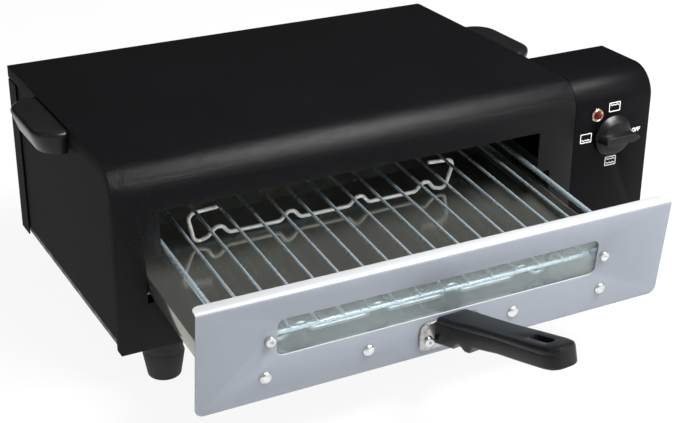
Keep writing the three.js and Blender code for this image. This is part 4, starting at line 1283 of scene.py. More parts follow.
@dataclass
class SideGrips(SubAssembly):
    """The two moulded cup handles on the sides."""

    corner: float = 20 * MM
    corner_steps: int = 12
    foot_share: float = 0.74
    wall: float = 3 * MM
    rim: float = 5.2 * MM
    rim_steps: int = 6
    edge: float = 0.6 * MM

    def build(self) -> None:
        """Builds the left handle and its mirror image on the right."""
        low, high = corners_of("side_handle_left")
        grip = Bench.block("side_grip_left", low, high)
        base = (high.x, (low.y + high.y) / 2, low.z)
        with Bench.editing(grip) as mesh:
            mesh.edges(lambda a, b: max(a.x, b.x) < low.x + TOUCH and abs(a.z - b.z) > self.wall)
            mesh.bevel(self.corner, self.corner_steps)
            mesh.faces(lambda centre, normal: normal.z < -FACING)
            mesh.resize((self.foot_share, 1 - 2 * self.wall / (high.y - low.y), 1.0), base)
            mesh.inset(self.wall)
            mesh.push((0.0, 0.0, high.z - low.z - self.wall))
            mesh.edges(lambda a, b: min(a.z, b.z) > high.z - TOUCH and min(a.x, b.x) < high.x - TOUCH)
            mesh.bevel(self.rim, self.rim_steps)
            mesh.mend()
        Bench.soften(grip, self.edge)
        body_low, body_high = corners_of("front_top_sheet")
        across = Matrix.Translation((body_low.x + body_high.x, 0.0, 0.0))
        mirror = across @ Matrix.Scale(-1.0, 4, (1.0, 0.0, 0.0))
        other = Bench.copy(grip, "side_grip_right", mirror)
        with Bench.editing(other) as mesh:
            mesh.face_outwards()
        for side, piece in ((Side.LEFT, grip), (Side.RIGHT, other)):
            Bench.complete(piece, Body.CASING, PHENOLIC, f"side_handle_{side.value}")
            screw = f"side_handle_screw_{side.value}"
            Bench.paint(BRIGHT, f"{screw}_front", f"{screw}_rear")


@dataclass
class Feet(SubAssembly):
    """Four rubber feet that narrow to the sole, with a screw well."""

    radius: float = 14.5 * MM
    neck: float = 13.6 * MM
    sole: float = 11.6 * MM
    well: float = 5.4 * MM
    wall: float = 7.7 * MM
    neck_height: float = 8.2 * MM
    shoulder: float = 3.2 * MM
    round: float = 0.9 * MM

    def build(self) -> None:
        """Turns one foot and copies it to the four corners."""
        names = [f"{end}_{side.value}" for end in ("front", "rear") for side in Side]
        low, high = corners_of(f"foot_{names[0]}")
        top = high.z - low.z
        foot = Bench.turned("foot", [
            (self.well, top - self.wall), (self.well, 0.0),
            (self.sole - self.round, 0.0), (self.sole, self.round),
            (self.radius, top - self.neck_height - self.shoulder),
            (self.radius - self.round, top - self.neck_height - self.round),
            (self.neck, top - self.neck_height), (self.neck, top),
        ])
        Bench.soften(foot, self.round / 2)
        for name in names:
            low, high = corners_of(f"foot_{name}")
            place = Matrix.Translation(((low.x + high.x) / 2, (low.y + high.y) / 2, low.z))
            piece = Bench.copy(foot, f"rubber_foot_{name}", place)
            Bench.complete(piece, Body.CASING, RUBBER, f"foot_{name}")
            Bench.paint(BRIGHT, f"foot_screw_{name}")
        bpy.data.objects.remove(foot)


@dataclass
class ControlBox(SubAssembly):
    """The control box's bent cover, pilot lamp, cord bush and hidden switch."""

    bend: float = 22 * MM
    bend_steps: int = 20
    sheet: float = 1 * MM
    edge: float = 0.25 * MM
    bush_radius: float = 5.1 * MM
    lamp_bore: float = 4.6 * MM
    gap: float = 0.3 * MM
    bezel: float = 5.2 * MM
    bezel_edge: float = 0.7 * MM
    bezel_slope: float = 0.6 * MM
    bezel_rim: float = 1.1 * MM
    bezel_seat: float = 0.5 * MM
    bezel_round: float = 0.15 * MM
    lens: float = 3.5 * MM
    lens_sides: int = 8
    lens_smooth: float = 12.0
    lens_rings: tuple[tuple[float, float], ...] = ((1.0, -0.6 * MM), (0.86, 0.5 * MM), (0.5, 1.3 * MM))

    def build(self) -> None:
        """Builds the cover and the lamp and dresses the rest."""
        self._cover()
        self._lamp()
        Bench.paint(RUBBER, "cord_bush", "lead_upper", "lead_lower", "lead_common")
        Bench.paint(BAKELITE, "selector_switch")
        Bench.paint(BRIGHT, "switch_nut")
        Bench.paint(CERAMIC, "lamp_body")

    def _cover(self) -> None:
        """Builds the bent cover, drilled for the switch and the lamp."""
        low, high = corners_of("control_cover")
        cover = Bench.block("control_wrap", low, high)
        with Bench.editing(cover) as mesh:
            mesh.edges(lambda a, b: all(abs(p.y - low.y) + abs(p.z - high.z) < TOUCH for p in (a, b)))
            mesh.bevel(self.bend, self.bend_steps)
            mesh.faces(lambda centre, normal: normal.y > FACING or normal.z < -FACING or normal.x < -FACING)
            mesh.remove()
        Bench.thicken(cover, self.sheet)
        for node, radius in (("switch_nut", self.bush_radius), ("lamp_bezel", self.lamp_bore)):
            drill = Bench.turned("drill", [(radius, -self.bend), (radius, self.bend)])
            Bench.move(drill, facing_front(middle_of(node)))
            Bench.carve(cover, drill)
        Bench.soften(cover, self.edge)
        Bench.complete(cover, Body.CASING, BOX_PAINT, "control_cover")

    def _lamp(self) -> None:
        """Turns the bezel and the facetted lens."""
        bezel_low, bezel_high = corners_of("lamp_bezel")
        face = corners_of("control_cover")[0].y
        at = middle_of("lamp_bezel")
        at.y = face
        reach = face - bezel_low.y
        back = face - bezel_high.y
        barrel = self.lamp_bore - self.gap
        ring = [
            (self.lens, back), (barrel, back), (barrel, self.gap), (self.bezel, self.gap),
            (self.bezel, self.bezel_edge), (self.bezel - self.bezel_slope, reach),
            (self.bezel - self.bezel_rim, reach), (self.lens, reach - self.bezel_seat),
        ]
        bezel = Bench.turned("lamp_ring", ring)
        Bench.soften(bezel, self.bezel_round)
        Bench.move(bezel, facing_front(at))
        Bench.complete(bezel, Body.CASING, BRASS, "lamp_bezel")
        facets = [(self.lens * share, reach + height) for share, height in self.lens_rings]
        lens = Bench.turned("lamp_jewel", [(self.lens, 0.0), *facets], self.lens_sides)
        Bench.move(lens, facing_front(at))
        Bench.complete(lens, Body.CASING, LENS, "lamp_lens", smooth=self.lens_smooth)


@dataclass
class SelectorKnob(SubAssembly):
    """The selector's turned knob with its raised grip bar."""

    radius: float = 16.2 * MM
    skirt: float = 2.6 * MM
    crown_radius: float = 12.4 * MM
    crown: float = 7 * MM
    height: float = 12.9 * MM
    sides: int = 64
    bar_width: float = 8.5 * MM
    bar_end_share: float = 0.7
    bar_end_steps: int = 5
    pointer: float = 1.3 * MM
    pointer_share: float = 0.12
    top_shares: tuple[float, float] = (0.94, 0.72)
    edge: float = 0.5 * MM
    edge_steps: int = 3
    sharp: float = 50.0

    def build(self) -> None:
        """Builds the knob on its shaft."""
        knob = Bench.turned("knob_body", [
            (self.radius - self.edge, 0.0), (self.radius, self.edge), (self.radius, self.skirt - self.edge),
            (self.radius - self.edge, self.skirt), (self.crown_radius, self.crown - self.edge),
            (self.crown_radius - 2 * self.edge, self.crown),
        ], self.sides)
        bar = self._bar()
        Bench.modify(knob, "BOOLEAN", object=bar, operation="UNION", solver="MANIFOLD")
        bpy.data.objects.remove(bar)
        Bench.soften(knob, self.edge / 2, angle=self.sharp)
        low, high = corners_of("selector_knob")
        Bench.move(knob, facing_front((low.x + self.radius, high.y, (low.z + high.z) / 2)))
        Bench.complete(knob, Body.KNOB, PHENOLIC, "selector_knob")
        Bench.paint(BRIGHT, "selector_shaft")

    def _bar(self) -> bpy.types.Object:
        """Shapes the grip bar, narrow on top and pointed at its right end.

        Returns:
            The bar.
        """
        half = self.bar_width / 2
        end = self.radius - half
        start = self.edge - self.radius
        bar = Bench.block("knob_bar", (start, -half, self.skirt / 2), (end, half, self.height))
        with Bench.editing(bar) as mesh:
            mesh.edges(lambda a, b: all(p.x < 0 for p in (a, b)) and abs(a.z - b.z) > self.skirt)
            mesh.bevel(half * self.bar_end_share, self.bar_end_steps)
            mesh.faces(lambda centre, normal: normal.x > FACING)
            mesh.push((half + self.pointer, 0.0, 0.0))
            mesh.resize((1.0, self.pointer_share, 1.0), (end, 0.0, 0.0))
            mesh.faces(lambda centre, normal: normal.z > FACING)
            mesh.resize((*self.top_shares, 1.0), (end, 0.0, self.height))
            mesh.edges(lambda a, b: all(p.z > self.height - TOUCH for p in (a, b)))
            mesh.bevel(self.edge, self.edge_steps)
        return bar


class Heat(Enum):
    """Which heaters a place on the dial stands for."""

    UPPER = "upper"
    LOWER = "lower"
    BOTH = "both"


@dataclass
class FaceMarks(SubAssembly):
    """The white printing round the knob: three heater signs and the word for off."""

    width: float = 10.4 * MM
    height: float = 7.4 * MM
    line: float = 0.62 * MM
    corner: float = 0.7 * MM
    corner_steps: int = 4
    film: float = 0.06 * MM
    wave_line: float = 0.3 * MM
    wave_height: float = 0.7 * MM
    wave_inset: float = 2.1 * MM
    waves: int = 3
    wave_steps: int = 24
    off_height: float = 4.5 * MM
    off_weight: float = 0.14 * MM
    off_slant: float = 0.2
    off_steps: int = 3
    off_place: tuple[float, float] = (19.0 * MM, -1.6 * MM)
    signs: dict[Heat, tuple[float, float]] = field(default_factory=lambda: {
        Heat.UPPER: (1.0 * MM, 22.2 * MM),
        Heat.LOWER: (-23.7 * MM, 1.0 * MM),
        Heat.BOTH: (1.3 * MM, -21.6 * MM),
    })

    def build(self) -> None:
        """Prints the signs and the word on the control box's face."""
        centre = middle_of("switch_nut")
        centre.y = corners_of("control_cover")[0].y
        for heat, (across, up) in self.signs.items():
            sign = self._sign(heat)
            Bench.move(sign, facing_front(centre + Vector((across, 0.0, up))))
            Bench.complete(sign, Body.CASING, INK)
        word = self._word()
        across, up = self.off_place
        Bench.move(word, facing_front(centre + Vector((across, 0.0, up))))
        Bench.complete(word, Body.CASING, INK)

    def _sign(self, heat: Heat) -> bpy.types.Object:
        """Shapes an oven sign with a wavy line at each heater.

        Args:
            heat: The heaters that it shows.

        Returns:
            The sign, facing along Z.
        """
        outline = self._plate(f"sign_{heat.value}", 0.0, self.corner, self.film)
        Bench.carve(outline, self._plate("sign_inner", self.line, self.corner / 2, 4 * self.film))
        ways = {Heat.UPPER: (1,), Heat.LOWER: (-1,), Heat.BOTH: (1, -1)}[heat]
        waves = [self._wave(way * (self.height / 2 - self.wave_inset)) for way in ways]
        return Bench.join([outline, *waves])

    def _plate(self, name: str, margin: float, corner: float, depth: float) -> bpy.types.Object:
        """A thin plate of a sign's size with round corners.

        Args:
            name: Its name.
            margin: How much it is smaller all round.
            corner: Its corners' radius.
            depth: Its reach each way from the face.

        Returns:
            The plate.
        """
        across, up = self.width / 2 - margin, self.height / 2 - margin
        plate = Bench.block(name, (-across, -up, -depth), (across, up, depth))
        with Bench.editing(plate) as mesh:
            mesh.edges(lambda a, b: abs(a.z - b.z) > depth)
            mesh.bevel(corner, self.corner_steps)
        return plate

    def _wave(self, height: float) -> bpy.types.Object:
        """A flattened wavy line across a sign.

        Args:
            height: Its middle's height.

        Returns:
            The line.
        """
        reach = self.width / 2 - 2 * self.line
        crest = self.wave_height / 2
        turn = 2 * self.waves * math.pi
        steps = self.wave_steps
        points = [
            (reach * (2 * i / steps - 1), height + crest * math.sin(turn * i / steps), 0.0)
            for i in range(steps + 1)
        ]
        wave = Bench.rod("wave", points, self.wave_line)
        with Bench.editing(wave) as mesh:
            mesh.everything()
            mesh.resize((1.0, 1.0, self.film / self.wave_line), (0.0, 0.0, 0.0))
        return wave

    def _word(self) -> bpy.types.Object:
        """The word for off as a thin film.

        Returns:
            The word, facing along Z.
        """
        bpy.ops.object.select_all(action="DESELECT")
        bpy.ops.object.text_add()
        word = bpy.context.active_object
        word.data.body = "OFF"
        word.data.size = self.off_height
        word.data.shear = self.off_slant
        word.data.offset = self.off_weight
        word.data.extrude = self.film
        word.data.resolution_u = self.off_steps
        bpy.ops.object.convert(target="MESH")
        return Bench.named("word_off")


@dataclass
class Elements(SubAssembly):
    """The two tubular heating elements and what carries them."""

    radius: float = 3.4 * MM
    round_steps: int = 5
    bend: float = 16 * MM
    pitch: float = 20 * MM
    inner_setback: float = 48 * MM

    def build(self) -> None:
        """Bends each element and dresses its carriers."""
        for level in ("upper", "lower"):
            self._element(level)
            Bench.paint(CERAMIC, f"{level}_element_block")
            Bench.paint(GALVANISED, f"{level}_strap_left", f"{level}_strap_right")

    def _element(self, level: str) -> None:
        """Bends one element round the oven.

        Args:
            level: Which of the two it is.
        """
        low, high = corners_of(f"{level}_element")
        wall = corners_of("front_top_sheet")[1].x
        left = low.x + self.radius
        front = low.y + self.radius
        back = high.y - self.radius
        height = (low.z + high.z) / 2
        inner = wall - self.inner_setback
        second = front + self.pitch
        corners = [
            (high.x, front), (left, front), (left, back), (inner, back), (inner, second), (high.x, second),
        ]
        bends = [self.bend] * 4 + [self.bend / 2] * 2
        path = [(x, y, height) for x, y in corners]
        tube = Bench.rod(f"{level}_heater", path, self.radius, bends, self.round_steps)
        Bench.complete(tube, Body.CASING, SHEATH, f"{level}_element")


@dataclass
class DrawerAxes:
    """The drawer's own axes: X along its front, Y back from its face, Z up from its lower edge."""

    tray_length: float = 214 * MM
    tray_bottom: float = 13.5 * MM

    @property
    def slope(self) -> float:
        """The runners' angle above level."""
        axis = next(joint["axis"] for joint in frame["joints"] if joint["name"] == "drawer_slide")
        return math.atan2(axis[2], axis[1])

    def matrix(self) -> Matrix:
        """The move from the drawer's axes to its place in the photo's pose.

        Returns:
            The move.
        """
        low = corners_of("drawer_front")[0]
        back = corners_of("drawer_tray")[1].y
        drawn = self.tray_length * math.cos(self.slope) - self.tray_bottom * math.sin(self.slope)
        return Matrix.Translation((low.x, back - drawn, low.z)) @ Matrix.Rotation(self.slope, 4, "X")


@dataclass
class DrawerFront(SubAssembly):
    """The drawer's bent front panel, its glass, rivets and window screws."""

    axes: DrawerAxes
    width: float = 347.5 * MM
    height: float = 74.5 * MM
    lip: float = 9 * MM
    bend: float = 3 * MM
    corner: float = 6 * MM
    lip_corner: float = 5 * MM
    corner_steps: int = 6
    sheet: float = 1 * MM
    window: tuple[float, float, float] = (237 * MM, 30.3 * MM, 56.5 * MM)
    window_corner: float = 5 * MM
    window_steps: int = 8
    shift: float = -2.4 * MM
    screw_spacing: float = 247 * MM
    screw_length: float = 4.2 * MM
    rivet_pitches: tuple[float, ...] = (-251 * MM, -108.5 * MM, 108.5 * MM, 251 * MM)
    rivet_height: float = 16.6 * MM
    rivet_smooth: float = 40.0
    gap: float = 0.3 * MM
    edge: float = 0.3 * MM

    @property
    def centre(self) -> float:
        """The middle of the window along the panel."""
        return self.width / 2 + self.shift

    def build(self) -> None:
        """Builds the panel and its fasteners."""
        self._panel()
        self._rivets()
        screw = Screw()
        middle = (self.window[1] + self.window[2]) / 2
        for side in Side:
            at = (self.centre + side.sign * self.screw_spacing / 2, -self.gap, middle)
            place = self.axes.matrix() @ facing_front(at)
            piece = screw.place(f"window_fastener_{side.value}", place, self.screw_length)
            Bench.complete(piece, Body.DRAWER, BRIGHT, f"window_screw_{side.value}")
        Bench.paint(GLASS, "window_glass")

    def _panel(self) -> None:
        """Bends the panel from one sheet and cuts its window."""
        panel = Bench.block("front_sheet", (0.0, 0.0, 0.0), (self.width, self.lip, self.height))
        with Bench.editing(panel) as mesh:
            mesh.edges(lambda a, b: all(abs(p.y) + abs(p.z - self.height) < TOUCH for p in (a, b)))
            mesh.bevel(self.bend, self.corner_steps)
            mesh.faces(
                lambda centre, normal: normal.y > FACING or normal.z < -FACING or abs(normal.x) > FACING
            )
            mesh.remove()
            mesh.points(lambda p: p.z < TOUCH)
            mesh.bevel_points(self.corner, self.corner_steps)
            mesh.points(lambda p: p.y > self.lip - TOUCH)
            mesh.bevel_points(self.lip_corner, self.corner_steps)
        Bench.thicken(panel, self.sheet)
        width, low, high = self.window
        left, right = self.centre - width / 2, self.centre + width / 2
        cutter = Bench.block("window_cutter", (left, -self.lip, low), (right, self.lip / 2, high))
        with Bench.editing(cutter) as mesh:
            mesh.edges(lambda a, b: abs(a.y - b.y) > self.sheet)
            mesh.bevel(self.window_corner, self.window_steps)
        Bench.carve(panel, cutter)
        Bench.soften(panel, self.edge)
        Bench.move(panel, self.axes.matrix())
        Bench.complete(panel, Body.DRAWER, ALUMINIUM, "drawer_front")

    def _rivets(self) -> None:
        """Turns one rivet and copies it along the panel."""
        rivet = Rivet().turned("rivet")
        for number, pitch in enumerate(self.rivet_pitches, 1):
            at = facing_front((self.centre + pitch / 2, -self.gap, self.rivet_height))
            piece = Bench.copy(rivet, f"rivet_{number}", self.axes.matrix() @ at)
            Bench.complete(
                piece, Body.DRAWER, BRIGHT, f"front_rivet_{number}", smooth=self.rivet_smooth
            )
        bpy.data.objects.remove(rivet)


@dataclass
class Rivet:
    """A domed rivet with its closed tail behind the sheet."""

    head: float = 4.2 * MM
    dome: float = 2 * MM
    dome_degrees: tuple[int, ...] = (8, 25, 42, 60, 78)
    shank: float = 1.6 * MM
    grip: float = 2.8 * MM
    tail: float = 1.9 * MM
    tail_side: float = 0.7 * MM
    tail_length: float = 1 * MM
    tail_end_share: float = 0.8
    sides: int = 32

    def turned(self, name: str) -> bpy.types.Object:
        """Turns the rivet, with Z out of its head.

        Args:
            name: Its name.

        Returns:
            The rivet.
        """
        angles = [math.radians(degrees) for degrees in self.dome_degrees]
        arc = [(self.head * math.cos(angle), self.dome * math.sin(angle)) for angle in angles]
        return Bench.turned(name, [
            (self.tail * self.tail_end_share, -self.grip - self.tail_length),
            (self.tail, -self.grip - self.tail_side), (self.tail, -self.grip),
            (self.shank, -self.grip), (self.shank, 0.0), (self.head, 0.0), *arc,
        ], self.sides)


@dataclass
class Screw:
    """A pan-head screw with a cross recess."""

    shank: float = 1.9 * MM
    head: float = 3.5 * MM
    height: float = 2.4 * MM
    recess_width: float = 0.9 * MM
    recess_reach: float = 2.1 * MM
    recess_depth: float = 1.3 * MM
    recess_taper: Point = (0.45, 0.7, 1.0)
    recess_turn: float = math.radians(25)
    edge: float = 0.12 * MM
    sides: int = 32

    def place(self, name: str, matrix: Matrix, length: float) -> bpy.types.Object:
        """Turns a screw, cuts its recess and puts it in place.

        Args:
            name: Its name.
            matrix: Its place, with Z out of its head.
            length: How far its shank goes in.

        Returns:
            The screw.
        """
        crown = self.height / 4
        screw = Bench.turned(name, [
            (self.shank * 0.7, -length), (self.shank, -length + self.shank / 3), (self.shank, 0.0),
            (self.head, 0.0), (self.head, self.height - 2 * crown),
            (self.head - crown / 2, self.height - crown / 2), (self.head - 2 * crown, self.height),
        ], self.sides)
        for turn in (0.0, math.pi / 2):
            Bench.carve(screw, self._blade(turn))
        Bench.soften(screw, self.edge)
        Bench.move(screw, matrix @ Matrix.Rotation(self.recess_turn, 4, "Z"))
        return screw

    def _blade(self, turn: float) -> bpy.types.Object:
        """One arm of the recess, narrower at its bottom.

        Args:
            turn: Its turn about the screw's axis.

        Returns:
            The arm as a cutter.
        """
        half = self.recess_width / 2
        low = self.height - self.recess_depth
        high = self.height + self.recess_depth
        blade = Bench.block("recess", (-self.recess_reach, -half, low), (self.recess_reach, half, high))
        with Bench.editing(blade) as mesh:
            mesh.faces(lambda centre, normal: normal.z < -FACING)
            mesh.resize(self.recess_taper, (0.0, 0.0, low))
        Bench.move(blade, Matrix.Rotation(turn, 4, "Z"))
        return blade


@dataclass
class DrawerTray(SubAssembly):
    """The shallow tray with its folded corners."""

    axes: DrawerAxes
    left: float = 15.75 * MM
    width: float = 316 * MM
    front: float = 1.3 * MM
    wall: float = 13 * MM
    sheet: float = 0.9 * MM
    fold: float = 1.8 * MM
    corner: float = 2.2 * MM
    steps: int = 4

    def build(self) -> None:
        """Folds the tray from one sheet."""
        low = (self.left, self.front, self.axes.tray_bottom)
        high = (self.left + self.width, self.axes.tray_length, self.axes.tray_bottom + self.wall)
        tray = Bench.block("tray_pan", low, high)
        with Bench.editing(tray) as mesh:
            mesh.edges(lambda a, b: abs(a.z - b.z) > self.fold)
            mesh.bevel(self.corner, self.steps)
            mesh.edges(lambda a, b: all(p.z < low[2] + TOUCH for p in (a, b)))
            mesh.bevel(self.fold, self.steps)
            mesh.faces(lambda centre, normal: normal.z > FACING)
            mesh.remove()
        Bench.thicken(tray, self.sheet)
        Bench.soften(tray, self.sheet / 4)
        Bench.move(tray, self.axes.matrix())
        Bench.complete(tray, Body.DRAWER, TRAY_STEEL, "drawer_tray")


@dataclass
class PullHandle(SubAssembly):
    """The moulded pull handle on its bracket."""

    axes: DrawerAxes
    root: Point = (176.05 * MM, 0.0, 29.4 * MM)
    rise: float = math.radians(21)
    swing: float = math.radians(5)
    length: float = 112.5 * MM
    width: float = 23 * MM
    depth: float = 19.4 * MM
    station_shares: tuple[Point, ...] = (
        (-0.12, 1.0, 1.0), (0.11, 1.0, 1.0), (0.15, 0.98, 0.82), (0.18, 0.96, 0.82), (0.22, 0.94, 1.0),
        (0.25, 0.93, 1.0), (0.28, 0.91, 0.79), (0.5, 0.85, 0.74), (0.72, 0.93, 0.73), (0.9, 0.96, 0.72),
        (0.955, 0.88, 0.71), (0.985, 0.7, 0.69), (1.0, 0.46, 0.66),
    )
    edge: float = 2.2 * MM
    edge_steps: int = 4
    small_edge: float = 0.5 * MM
    sharp: float = 40.0
    slot: Point = (7 * MM, 19 * MM, 22 * MM)
    slot_steps: int = 6
    seam: tuple[float, float] = (4.2 * MM, 4.8 * MM)
    seam_depth: float = 0.35 * MM
    seam_facing: float = 0.7
    gap: float = 0.3 * MM
    plate_sheet: float = 1.5 * MM
    plate: tuple[float, float, float] = (44.6 * MM, 5.5 * MM, 21 * MM)
    plate_corner: float = 5 * MM
    plate_steps: int = 6
    plate_rim: float = 0.5 * MM
    plate_relief: float = 0.15 * MM
    plate_edge: float = 0.25 * MM
    screw_pitch: float = 32 * MM
    screw_height: float = 12.6 * MM
    screw_length: float = 3.1 * MM

    def build(self) -> None:
        """Builds the handle, its bracket and the bracket's screws."""
        self._moulding()
        self._bracket()
        screw = Screw()
        for side in Side:
            across = self.root[0] + side.sign * self.screw_pitch / 2
            at = facing_front((across, -self.plate_sheet - 2 * self.gap, self.screw_height))
            piece = screw.place(f"bracket_fastener_{side.value}", self.axes.matrix() @ at, self.screw_length)
            Bench.complete(piece, Body.DRAWER, BRIGHT, f"bracket_screw_{side.value}")

    def _own_axes(self) -> Matrix:
        """The handle's axes in the drawer: X across it, Y out along it, Z up through it.

        Returns:
            The move from the handle's axes to the drawer's.
        """
        level = math.cos(self.rise)
        along = Vector((math.sin(self.swing) * level, -math.cos(self.swing) * level, math.sin(self.rise)))
        across = Vector((-math.cos(self.swing), -math.sin(self.swing), 0.0))
        turn = Matrix((across, along, across.cross(along))).transposed().to_4x4()
        return Matrix.Translation(self.root) @ turn

    def _moulding(self) -> None:
        """Draws the handle out from its root, station by station, and finishes it."""
        start, neck = (self.length * station[0] for station in self.station_shares[:2])
        half = self.width / 2
        handle = Bench.block("handle_moulding", (-half, start, -self.depth), (half, neck, 0.0))
        with Bench.editing(handle) as mesh:
            for before, after in zip(self.station_shares[1:], self.station_shares[2:]):
                here, there = (self.length * share[0] for share in (before, after))
                mesh.faces(lambda centre, normal: normal.y > FACING and centre.y > here - TOUCH)
                mesh.push((0.0, there - here, 0.0))
                mesh.resize((after[1] / before[1], 1.0, after[2] / before[2]), (0.0, there, 0.0))
            mesh.edges(lambda a, b: abs(a.y - b.y) > TOUCH)
            mesh.bevel(self.edge, self.edge_steps)
            for height in self.seam:
                mesh.everything()
                mesh.split((0.0, 0.0, -height), (0.0, 0.0, 1.0))
            top, low = self.seam
            mesh.faces(lambda centre, normal: -low < centre.z < -top and abs(normal.x) > self.seam_facing)
            mesh.sink(self.seam_depth)
        self._slot(handle)
        Bench.soften(handle, self.small_edge, angle=self.sharp)
        Bench.move(handle, self._own_axes())
        with Bench.editing(handle) as mesh:
            mesh.everything()
            back = -self.plate_sheet - 2 * self.gap
            mesh.split((0.0, back, 0.0), (0.0, 1.0, 0.0), keep_low=True, fill=True)
        Bench.move(handle, self.axes.matrix())
        Bench.complete(handle, Body.DRAWER, PHENOLIC, "pull_handle")

    def _slot(self, handle: bpy.types.Object) -> None:
        """Cuts the hanging slot near the handle's end.

        Args:
            handle: The handle.
        """
        width, length, inset = self.slot
        end = self.length - inset + length / 2
        half = width / 2
        cutter = Bench.block("slot_cutter", (-half, end - length, -self.depth), (half, end, self.depth / 2))
        with Bench.editing(cutter) as mesh:
            mesh.edges(lambda a, b: abs(a.z - b.z) > self.width / 2)
            mesh.bevel(half - self.gap, self.slot_steps)
        Bench.carve(handle, cutter)

    def _bracket(self) -> None:
        """Shapes the bracket's plate."""
        width, low, height = self.plate
        half = width / 2
        front = -self.gap - self.plate_sheet
        plate = Bench.block(
            "bracket_plate", (self.root[0] - half, front, low), (self.root[0] + half, -self.gap, low + height)
        )
        with Bench.editing(plate) as mesh:
            mesh.edges(lambda a, b: abs(a.y - b.y) > self.gap)
            mesh.bevel(self.plate_corner, self.plate_steps)
            mesh.faces(is_front)
            mesh.inset(self.plate_rim)
            mesh.push((0.0, -self.plate_relief, 0.0))
        Bench.soften(plate, self.plate_edge)
        Bench.move(plate, self.axes.matrix())
        Bench.complete(plate, Body.DRAWER, PLATE_STEEL, "handle_bracket")


@dataclass
class Grill(SubAssembly):
    """The wire grill that lifts off the drawer."""

    axes: DrawerAxes
    left: float = 28.25 * MM
    width: float = 291 * MM
    front: float = 5.4 * MM
    length: float = 200 * MM
    height: float = 45 * MM
    wires: int = 17
    wire: float = 1.1 * MM
    bar: float = 1.9 * MM
    bar_steps: int = 4
    bar_inset: float = 1.9 * MM
    bar_drop: float = 2.3 * MM
    end_round_share: float = 0.45

    def build(self) -> None:
        """Lays the wires over the cross bars and joins them as welded."""
        right, back = self.left + self.width, self.front + self.length
        run = [(0.0, self.front, self.height), (0.0, back, self.height)]
        inner = Bench.rod("grill_wire", run, self.wire)
        outer = Bench.rod("grill_side", run, self.bar, sides=self.bar_steps)
        low = self.height - self.bar_drop
        span = [(self.left, 0.0, low), (right, 0.0, low)]
        cross = Bench.rod("grill_bar", span, self.bar, sides=self.bar_steps)
        for rod, radius in ((inner, self.wire), (outer, self.bar), (cross, self.bar)):
            Bench.soften(rod, radius * self.end_round_share, angle=WIRE_SHARP)
        parts = []
        for i in range(self.wires):
            rod = outer if i in (0, self.wires - 1) else inner
            across = self.left + self.width * i / (self.wires - 1)
            parts.append(Bench.copy(rod, f"wire_{i}", Matrix.Translation((across, 0.0, 0.0))))
        for i, y in enumerate((self.front + self.bar_inset, back - self.bar_inset)):
            parts.append(Bench.copy(cross, f"bar_{i}", Matrix.Translation((0.0, y, 0.0))))
        for rod in (inner, outer, cross):
            bpy.data.objects.remove(rod)
        grill = Bench.join(parts)
        grill.name = "grill_wires"
        Bench.move(grill, self.axes.matrix())
        Bench.complete(grill, Body.GRILL, ZINC, "wire_grill", smooth=WIRE_SMOOTH)


@dataclass
class SkewerRests(SubAssembly):
    """The two bent wires under the grill with humps that keep skewers apart."""

    axes: DrawerAxes
    radius: float = 1.5 * MM
    round_steps: int = 4
    centre: float = 168.75 * MM
    half: float = 108 * MM
    foot_half: float = 102 * MM
    turn_in: float = 23 * MM
    pitch: float = 56 * MM
    low: float = 16.2 * MM
    run: float = 19.2 * MM
    crest: float = 25.7 * MM
    top: float = 42.1 * MM
    end_drop: float = 1.5 * MM
    foot: float = 8 * MM
    crown: float = 2.5 * MM
    humps: int = 4
    bend: float = 5 * MM
    hump_bend: float = 5 * MM
    end_round_share: float = 0.4
    places: dict[str, float] = field(default_factory=lambda: {"front": 32 * MM, "rear": 160 * MM})

    def build(self) -> None:
        """Bends both rests."""
        for name, y in self.places.items():
            path = self._corners(y)
            rest = Bench.rod(f"rest_{name}", path, self.radius, self._bends(), self.round_steps)
            Bench.soften(rest, self.radius * self.end_round_share, angle=WIRE_SHARP)
            Bench.move(rest, self.axes.matrix())
            # One wire, painted lit and shaded: the front rest takes painted shade, the rear one a painted
            # reflection.
            finish = SHADE_PAINTED_WIRE if name == "front" else HIGHLIGHT_PAINTED_WIRE
            Bench.complete(rest, Body.GRILL, finish, f"skewer_rest_{name}", smooth=WIRE_SMOOTH)

    def _corners(self, y: float) -> list[Point]:
        """The corners of a rest's wire.

        Args:
            y: How far back it stands.

        Returns:
            The corners from left to right.
        """
        end = [
            (self.foot_half, self.low),
            (self.half, self.top - self.end_drop),
            (self.half - self.turn_in, self.top),
        ]
        rise = ((-self.foot, self.run), (-self.crown, self.crest))
        hump = (*rise, *((-x, z) for x, z in reversed(rise)))
        path = [(-x, z) for x, z in reversed(end)]
        for i in range(self.humps):
            middle = (i - (self.humps - 1) / 2) * self.pitch
            path.extend((middle + x, z) for x, z in hump)
        path.extend(end)
        return [(self.centre + x, y, z) for x, z in path]

    def _bends(self) -> list[float]:
        """The bend radius at each corner.

        Returns:
            The radii from left to right.
        """
        return [self.bend] * 3 + [self.hump_bend] * (4 * self.humps) + [self.bend] * 3


# The picture


@dataclass(frozen=True)
class Softbox:
    """A flat lamp of the studio, with its power in watts and its width and height."""

    name: str
    place: Point
    target: Point
    power: float
    size: tuple[float, float]

    def hang(self) -> None:
        """Hangs the lamp in its place, facing its target."""
        data = bpy.data.lights.new(self.name, "AREA")
        data.shape = "RECTANGLE"
        data.size, data.size_y = self.size
        data.energy = self.power
        lamp = bpy.data.objects.new(self.name, data)
        bpy.context.collection.objects.link(lamp)
        lamp.location = self.place
        way = Vector(self.target) - Vector(self.place)
        lamp.rotation_euler = way.to_track_quat("-Z", "Y").to_euler()


